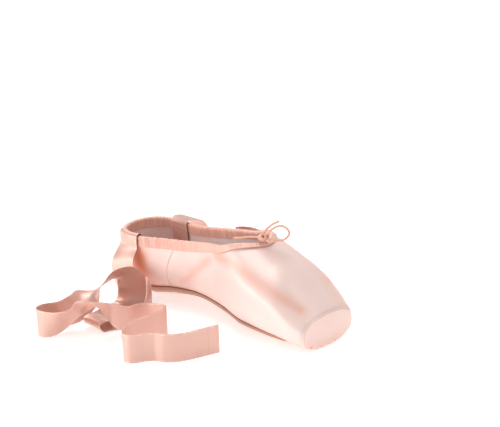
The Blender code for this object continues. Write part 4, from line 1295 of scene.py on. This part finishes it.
def attached_rows(side, share, count):
    """Left edge, middle and right edge of the ribbon where it is sewn to the wall."""
    rows = []
    for depth, outward in ATTACHED_ROWS[:count]:
        row = []
        for across in (-0.5, 0.0, 0.5):
            run = run_of(share + across * RIBBON_WIDTH / SHOE_LENGTH)
            edge = last_point(run, collar_angle(run))[2]
            angle = angle_at_height(run, edge - depth)
            place = last_point(run, angle) + last_normal(run, angle) * outward
            row.append(on_side(side, place))
        rows.append(row)
    return rows


def loose_rows(table, side):
    table = [row if len(row) > 2 else (*row, STANDING_HEIGHT, 0.0, 0.0, side) for row in table]
    rows = []
    for k, row in enumerate(table):
        place = np.array(row[:3])
        before = np.array(table[max(k - 1, 0)][:3])
        after = np.array(table[min(k + 1, len(table) - 1)][:3])
        along = (after - before) / np.linalg.norm(after - before)
        across = np.array(row[3:])
        across = across - along * float(across @ along)
        across *= 0.5 * RIBBON_WIDTH / np.linalg.norm(across)
        rows.append([place - across, place, place + across])
    return rows


def curve_through(points, steps):
    """Points of a smooth curve through the given ones, each stretch cut into its steps."""
    out = [points[0]]
    for k, count in enumerate(steps):
        a = points[max(k - 1, 0)]
        b = points[k]
        c = points[k + 1]
        d = points[min(k + 2, len(points) - 1)]
        one = max(float(np.linalg.norm(b - a)), 1e-9) ** 0.5
        two = max(float(np.linalg.norm(c - b)), 1e-9) ** 0.5
        three = max(float(np.linalg.norm(d - c)), 1e-9) ** 0.5
        leave = (c - b) if k == 0 else ((b - a) / one - (c - a) / (one + two)) * two + (c - b)
        if k + 2 < len(points):
            reach = (c - b) + ((d - c) / three - (d - b) / (two + three)) * two
        else:
            reach = c - b
        for j in range(1, count + 1):
            t = j / count
            out.append(
                b * (2 * t ** 3 - 3 * t ** 2 + 1) + leave * (t ** 3 - 2 * t ** 2 + t)
                + c * (3 * t ** 2 - 2 * t ** 3) + reach * (t ** 3 - t ** 2)
            )
    return out


def build_ribbon(name, side, share, count, table):
    """A satin ribbon along its rails: two faces, selvedges and cut ends, and its flat length."""
    rows = attached_rows(side, share, count) + loose_rows(table, side)
    middles = [row[1] for row in rows]
    steps = [
        max(2, round(float(np.linalg.norm(b - a)) / RIBBON_STEP))
        for a, b in zip(middles, middles[1:])
    ]
    left, middle, right = (
        np.array(curve_through([row[k] for row in rows], steps)) for k in range(3))
    part = np.linspace(-1.0, 1.0, RIBBON_COLUMNS)[None, :, None]
    centre = (
        left[:, None] * (part * (part - 1) / 2) + middle[:, None] * (1 - part * part)
        + right[:, None] * (part * (part + 1) / 2)
    )
    along = np.gradient(centre, axis=0)
    across = np.gradient(centre, axis=1)
    normal = unit(np.cross(along, across))
    lengths = measured(middle)
    whole = lengths[-1]
    # Slow ripples along the selvedges, none where the ribbon is sewn or lies flat on its edge.
    free = soft_step(0.045, 0.075, lengths) * (1 - soft_step(whole - 0.012, whole - 0.002, lengths))
    ripple = np.sin(lengths * 190.0 + 1.3 * side) + 0.6 * np.sin(lengths * 415.0 + 2.0)
    lift = 0.00022 * (free * ripple)[:, None] * np.abs(part[0, :, 0])[None, :] ** 2
    clear = soft_step(0.0006, 0.0020, centre[..., 2])
    centre = centre + normal * (lift * clear)[..., None]
    flat = (part[0, :, 0] * RIBBON_WIDTH / 2)[None, :]
    laid = np.stack(np.broadcast_arrays(lengths[:, None], flat), axis=-1)
    edge = RIBBON_WIDTH / 2 - np.abs(flat) - 0.0010 + 0.0 * lengths[:, None]
    cut = (whole - lengths - RIBBON_HEM)[:, None] + 0.0 * flat
    # The sewn end inside the shoe gets painted shade.
    inside = (1 - soft_step(0.018, 0.030, lengths))[:, None] * 0.25
    cloth = Cloth("tone", "seam", "fold")
    faces = {}
    for sense in (1, -1):
        skin = centre + normal * (RIBBON_THICKNESS * 0.40 * sense)
        faces[sense] = skin
        cloth.grid(skin, laid, flip=sense < 0, tone=0.06 + inside, seam=edge, fold=cut)
    for row, flip in ((0, False), (-1, True)):
        wall = np.stack((faces[1][:, row], faces[-1][:, row]), axis=1)
        cloth.grid(wall, laid[:, [row, row]], flip=flip, tone=0.0, seam=0.02, fold=0.02)
    for column, flip in ((0, True), (-1, False)):
        wall = np.stack((faces[1][column], faces[-1][column]), axis=0)
        cloth.grid(wall, laid[[column, column]], flip=flip, tone=0.4, seam=0.02, fold=0.02)
    piece = cloth.make(name, [RIBBON])
    piece.data.set_sharp_from_angle(angle=math.radians(55))
    # Two rows of hand stitches hold the ribbon's sewn end to the lining.
    apart = (faces[1] - faces[-1])[4, RIBBON_COLUMNS // 2, 1]
    toward = -1 if side * apart > 0 else 1
    sewn = faces[toward] + normal * (0.00006 * toward)
    stop = int(np.searchsorted(lengths, 0.016))
    rows_sewn = [sewn[2:stop, 1], sewn[2:stop, -2], sewn[2, 1:-1], sewn[stop, 1:-1]]
    return piece, whole, rows_sewn


RIBBON_NEAR, NEAR_LENGTH, NEAR_SEWN = build_ribbon(
    "ribbon_near_satin", -1, NEAR_SHARE, NEAR_COUNT, NEAR_ROWS)
RIBBON_FAR, FAR_LENGTH, FAR_SEWN = build_ribbon(
    "ribbon_far_satin", 1, FAR_SHARE, FAR_COUNT, FAR_ROWS)
for piece, node, length in (
    (RIBBON_NEAR, "ribbon_near", NEAR_LENGTH), (RIBBON_FAR, "ribbon_far", FAR_LENGTH),
):
    take_place(piece, node)
RIBBON_STITCHES = sew("ribbon_stitches", NEAR_SEWN + FAR_SEWN, THREAD, 0.0034, 0.0024, 0.00045)


# The drawstring at the throat: a knot of wraps, its loop and its two cut ends.
THROAT_X = THROAT_SHARE * SHOE_LENGTH
KNOT_PLACE = np.array((THROAT_X - 0.0010, -0.0030, THROAT_HEIGHT + 0.0059))
LOOP_ROWS = (
    (0.00405, 0.0020, -0.0009),
    (0.0078, 0.0050, -0.0018),
    (0.0115, 0.0088, -0.0025),
    (0.0150, 0.0123, -0.0012),
    (0.0171, 0.0149, 0.0032),
    (0.0154, 0.0132, 0.0082),
    (0.0115, 0.0097, 0.0102),
    (0.0076, 0.0058, 0.0082),
    (0.0026, 0.0016, 0.0029),
)
END_NEAR_ROWS = (
    (-0.00355, -0.0027, 0.0004),
    (-0.0090, -0.0075, 0.0006),
    (-0.0140, -0.0115, -0.0002),
    (-0.0190, -0.0140, -0.0006),
)
END_FAR_ROWS = (
    (-0.0006, 0.0025, 0.0034),
    (0.0012, 0.0054, 0.0070),
    (0.0040, 0.0086, 0.0102),
    (0.0078, 0.0116, 0.0126),
)
WRAP_HALF_SIZES = np.array((0.0031, 0.0029, 0.0024))
# Tilt and turn of each wrap, in radians.
WRAPS = ((0.2, 0.1), (1.1, 0.5), (0.7, 2.0), (1.45, 1.2))
FIBRE_COUNT = 18


def tube(cloth, line, radii, sides=14):
    """A round cord along a line, its two ends closed; its braid follows it."""
    line = np.array(line)
    radii = np.broadcast_to(radii, len(line))
    tangents = unit(np.gradient(line, axis=0))
    across = np.cross(tangents[0], (0.0, 0.0, 1.0))
    if np.linalg.norm(across) < 0.1:
        across = np.cross(tangents[0], (1.0, 0.0, 0.0))
    across = unit(across)
    turns = np.linspace(0.0, 2 * math.pi, sides + 1)
    lengths = measured(line)
    places, laid = [], []
    for place, tangent, radius, length in zip(line, tangents, radii, lengths):
        across = unit(across - tangent * (across @ tangent))
        other = np.cross(tangent, across)
        ring = np.cos(turns)[:, None] * across + np.sin(turns)[:, None] * other
        ring[-1] = ring[0]
        places.append(place + ring * radius)
        laid.append(np.stack((np.full(sides + 1, length), turns / (2 * math.pi)), axis=-1))
    for end, sense in ((0, -1.0), (-1, 1.0)):
        dome = []
        for share in (0.35, 0.65, 0.88, 1.0):
            bulge = tangents[end] * sense * radii[end] * 0.35 * share
            ring = (places[end] - line[end]) * math.sqrt(1 - share * share)
            dome.append(line[end] + bulge + ring)
        if end == 0:
            places = dome[::-1] + places
            laid = [laid[0]] * 4 + laid
        else:
            places += dome
            laid += [laid[-1]] * 4
    cloth.grid(np.array(places), np.array(laid))


def cord_line(rows, step):
    points = [KNOT_PLACE + np.array(row) for row in rows]
    steps = [
        max(2, round(float(np.linalg.norm(b - a)) / step)) for a, b in zip(points, points[1:])
    ]
    return np.array(curve_through(points, steps))


LOOP_LINE = cord_line(LOOP_ROWS, 0.0007)


def build_loop():
    cloth = Cloth()
    radii = CORD_DIAMETER / 2 * (1 + 0.03 * np.sin(np.arange(len(LOOP_LINE)) * 0.9))
    tube(cloth, LOOP_LINE, radii)
    return cloth.make("drawstring_loop_cord", [CORD])


def build_knot():
    """Wraps of the cord round each other, with both cut ends and their loose fibres."""
    cloth = Cloth()
    for k, (tilt, turn) in enumerate(WRAPS):
        frame_x = np.array((math.cos(turn), math.sin(turn), 0.0))
        frame_y = np.array((
            -math.sin(turn) * math.cos(tilt), math.cos(turn) * math.cos(tilt), math.sin(tilt)))
        axis = np.cross(frame_x, frame_y)
        angles = np.linspace(0.3 * k, 0.3 * k + 2 * math.pi * 0.97, 44)
        ring = np.cos(angles)[:, None] * frame_x + np.sin(angles)[:, None] * frame_y
        ring = ring + axis * (0.28 * np.sin(2 * angles + k)[:, None])
        tube(cloth, KNOT_PLACE + ring * WRAP_HALF_SIZES * 0.98, CORD_DIAMETER / 2 * 0.98)
    for rows in (END_NEAR_ROWS, END_FAR_ROWS):
        line = cord_line(rows, 0.0008)
        start = KNOT_PLACE + (line[0] - KNOT_PLACE) * 0.35
        line = np.concatenate((np.linspace(start, line[0], 5)[:-1], line))
        tube(cloth, line, CORD_DIAMETER / 2 * 0.96)
        tip, way = line[-1], unit(line[-1] - line[-2])
        side_way = unit(np.cross(way, (0.0, 0.0, 1.0)))
        up_way = np.cross(side_way, way)
        for k in range(FIBRE_COUNT):
            turn = 2.4 * k
            spread = 0.25 + 0.70 * ((k * 7) % FIBRE_COUNT) / FIBRE_COUNT
            apart = (side_way * math.cos(turn) + up_way * math.sin(turn)) * spread
            root = tip + apart * 0.0007
            lean = way + apart * 0.35
            reach = 0.0010 + 0.0009 * ((k * 5) % 7) / 7
            strand = np.linspace(0.0, 1.0, 5)[:, None] * unit(lean) * reach + root
            tube(cloth, strand, np.linspace(0.00016, 0.00006, 5), sides=5)
    return cloth.make("drawstring_knot_wraps", [CORD])


LOOP, KNOT = build_loop(), build_knot()
take_place(LOOP, "drawstring_loop")
take_place(KNOT, "drawstring_knot", "drawstring_end_near", "drawstring_end_far")


# The floor, the light and the camera.
FLOOR_HALF = 6.0
# Each light's name, place, what it points at, size and power in watts.
LIGHTS = (
    ("top_softbox", (-0.50, 0.30, 1.20), (0.0, 0.0, 0.03), (0.90, 0.90), 11.0),
    ("left_softbox", (-1.05, -1.15, 0.34), (0.0, 0.0, 0.03), (1.00, 0.60), 6.5),
    ("low_softbox", (-0.12, -1.30, 0.13), (0.0, -0.10, 0.01), (0.80, 0.22), 3.5),
    ("toe_softbox", (1.20, 0.50, 0.90), (0.05, 0.0, 0.03), (0.60, 0.60), 2.5),
)


def plain_floor():
    """A pale floor that glows a little, so that it is white up to the horizon."""
    mesh = bpy.data.meshes.new("studio_floor")
    corners = [(x * FLOOR_HALF, y * FLOOR_HALF, 0) for x, y in ((-1, -1), (1, -1), (1, 1), (-1, 1))]
    mesh.from_pydata(corners, [], [(0, 1, 2, 3)])
    floor = bpy.data.objects.new("studio_floor", mesh)
    bpy.context.scene.collection.objects.link(floor)
    material, _, shader = start_material("pale_floor", (0.90, 0.90, 0.90), 0.75)
    shader.inputs["Emission Color"].default_value = (1.0, 1.0, 1.0, 1.0)
    shader.inputs["Emission Strength"].default_value = 0.45
    mesh.materials.append(material)


def soft_light(name, place, target, size, power):
    lamp = bpy.data.lights.new(name, "AREA")
    lamp.shape = "RECTANGLE"
    lamp.size, lamp.size_y = size
    lamp.energy = power
    holder = bpy.data.objects.new(name, lamp)
    holder.location = place
    way = Vector(target) - Vector(place)
    holder.rotation_euler = way.to_track_quat("-Z", "Y").to_euler()
    bpy.context.scene.collection.objects.link(holder)


plain_floor()
for light in LIGHTS:
    soft_light(*light)
world = bpy.data.worlds.new("soft_room")
world.use_nodes = True
BACKGROUND = world.node_tree.nodes["Background"].inputs
BACKGROUND["Color"].default_value = (1.0, 1.0, 1.0, 1.0)
BACKGROUND["Strength"].default_value = 0.60
bpy.context.scene.world = world
bpy.context.scene.view_settings.view_transform = "Standard"

CAMERA_TURN, CAMERA_RISE, CAMERA_ROLL = 46.271, 21.519, -2.587
CAMERA_DISTANCE, CAMERA_TARGET = 1.273556, (-0.000165, 0.0, 0.030)
FOCAL_PIXELS, CENTRE_PIXELS = 1461.603, (226.097, 279.27)
PICTURE = (500, 427)


def set_camera():
    turn, rise, roll = (math.radians(a) for a in (CAMERA_TURN, CAMERA_RISE, CAMERA_ROLL))
    back = Vector((
        math.sin(turn) * math.cos(rise), -math.cos(turn) * math.cos(rise), math.sin(rise)))
    right = Vector((math.cos(turn), math.sin(turn), 0.0))
    up = back.cross(right)
    right, up = (
        right * math.cos(roll) + up * math.sin(roll), up * math.cos(roll) - right * math.sin(roll))
    data = bpy.data.cameras.new("photo_camera")
    data.sensor_fit = "HORIZONTAL"
    data.sensor_width = 36.0
    data.lens = FOCAL_PIXELS / PICTURE[0] * 36.0
    data.shift_x = (PICTURE[0] / 2 - CENTRE_PIXELS[0]) / PICTURE[0]
    data.shift_y = (CENTRE_PIXELS[1] - PICTURE[1] / 2) / PICTURE[0]
    data.clip_start, data.clip_end = 0.05, 50.0
    camera = bpy.data.objects.new("photo_camera", data)
    place = Vector(CAMERA_TARGET) + back * CAMERA_DISTANCE
    columns = Matrix((right, up, back)).transposed()
    camera.matrix_world = Matrix.Translation(place) @ columns.to_4x4()
    bpy.context.scene.collection.objects.link(camera)
    bpy.context.scene.camera = camera


set_camera()
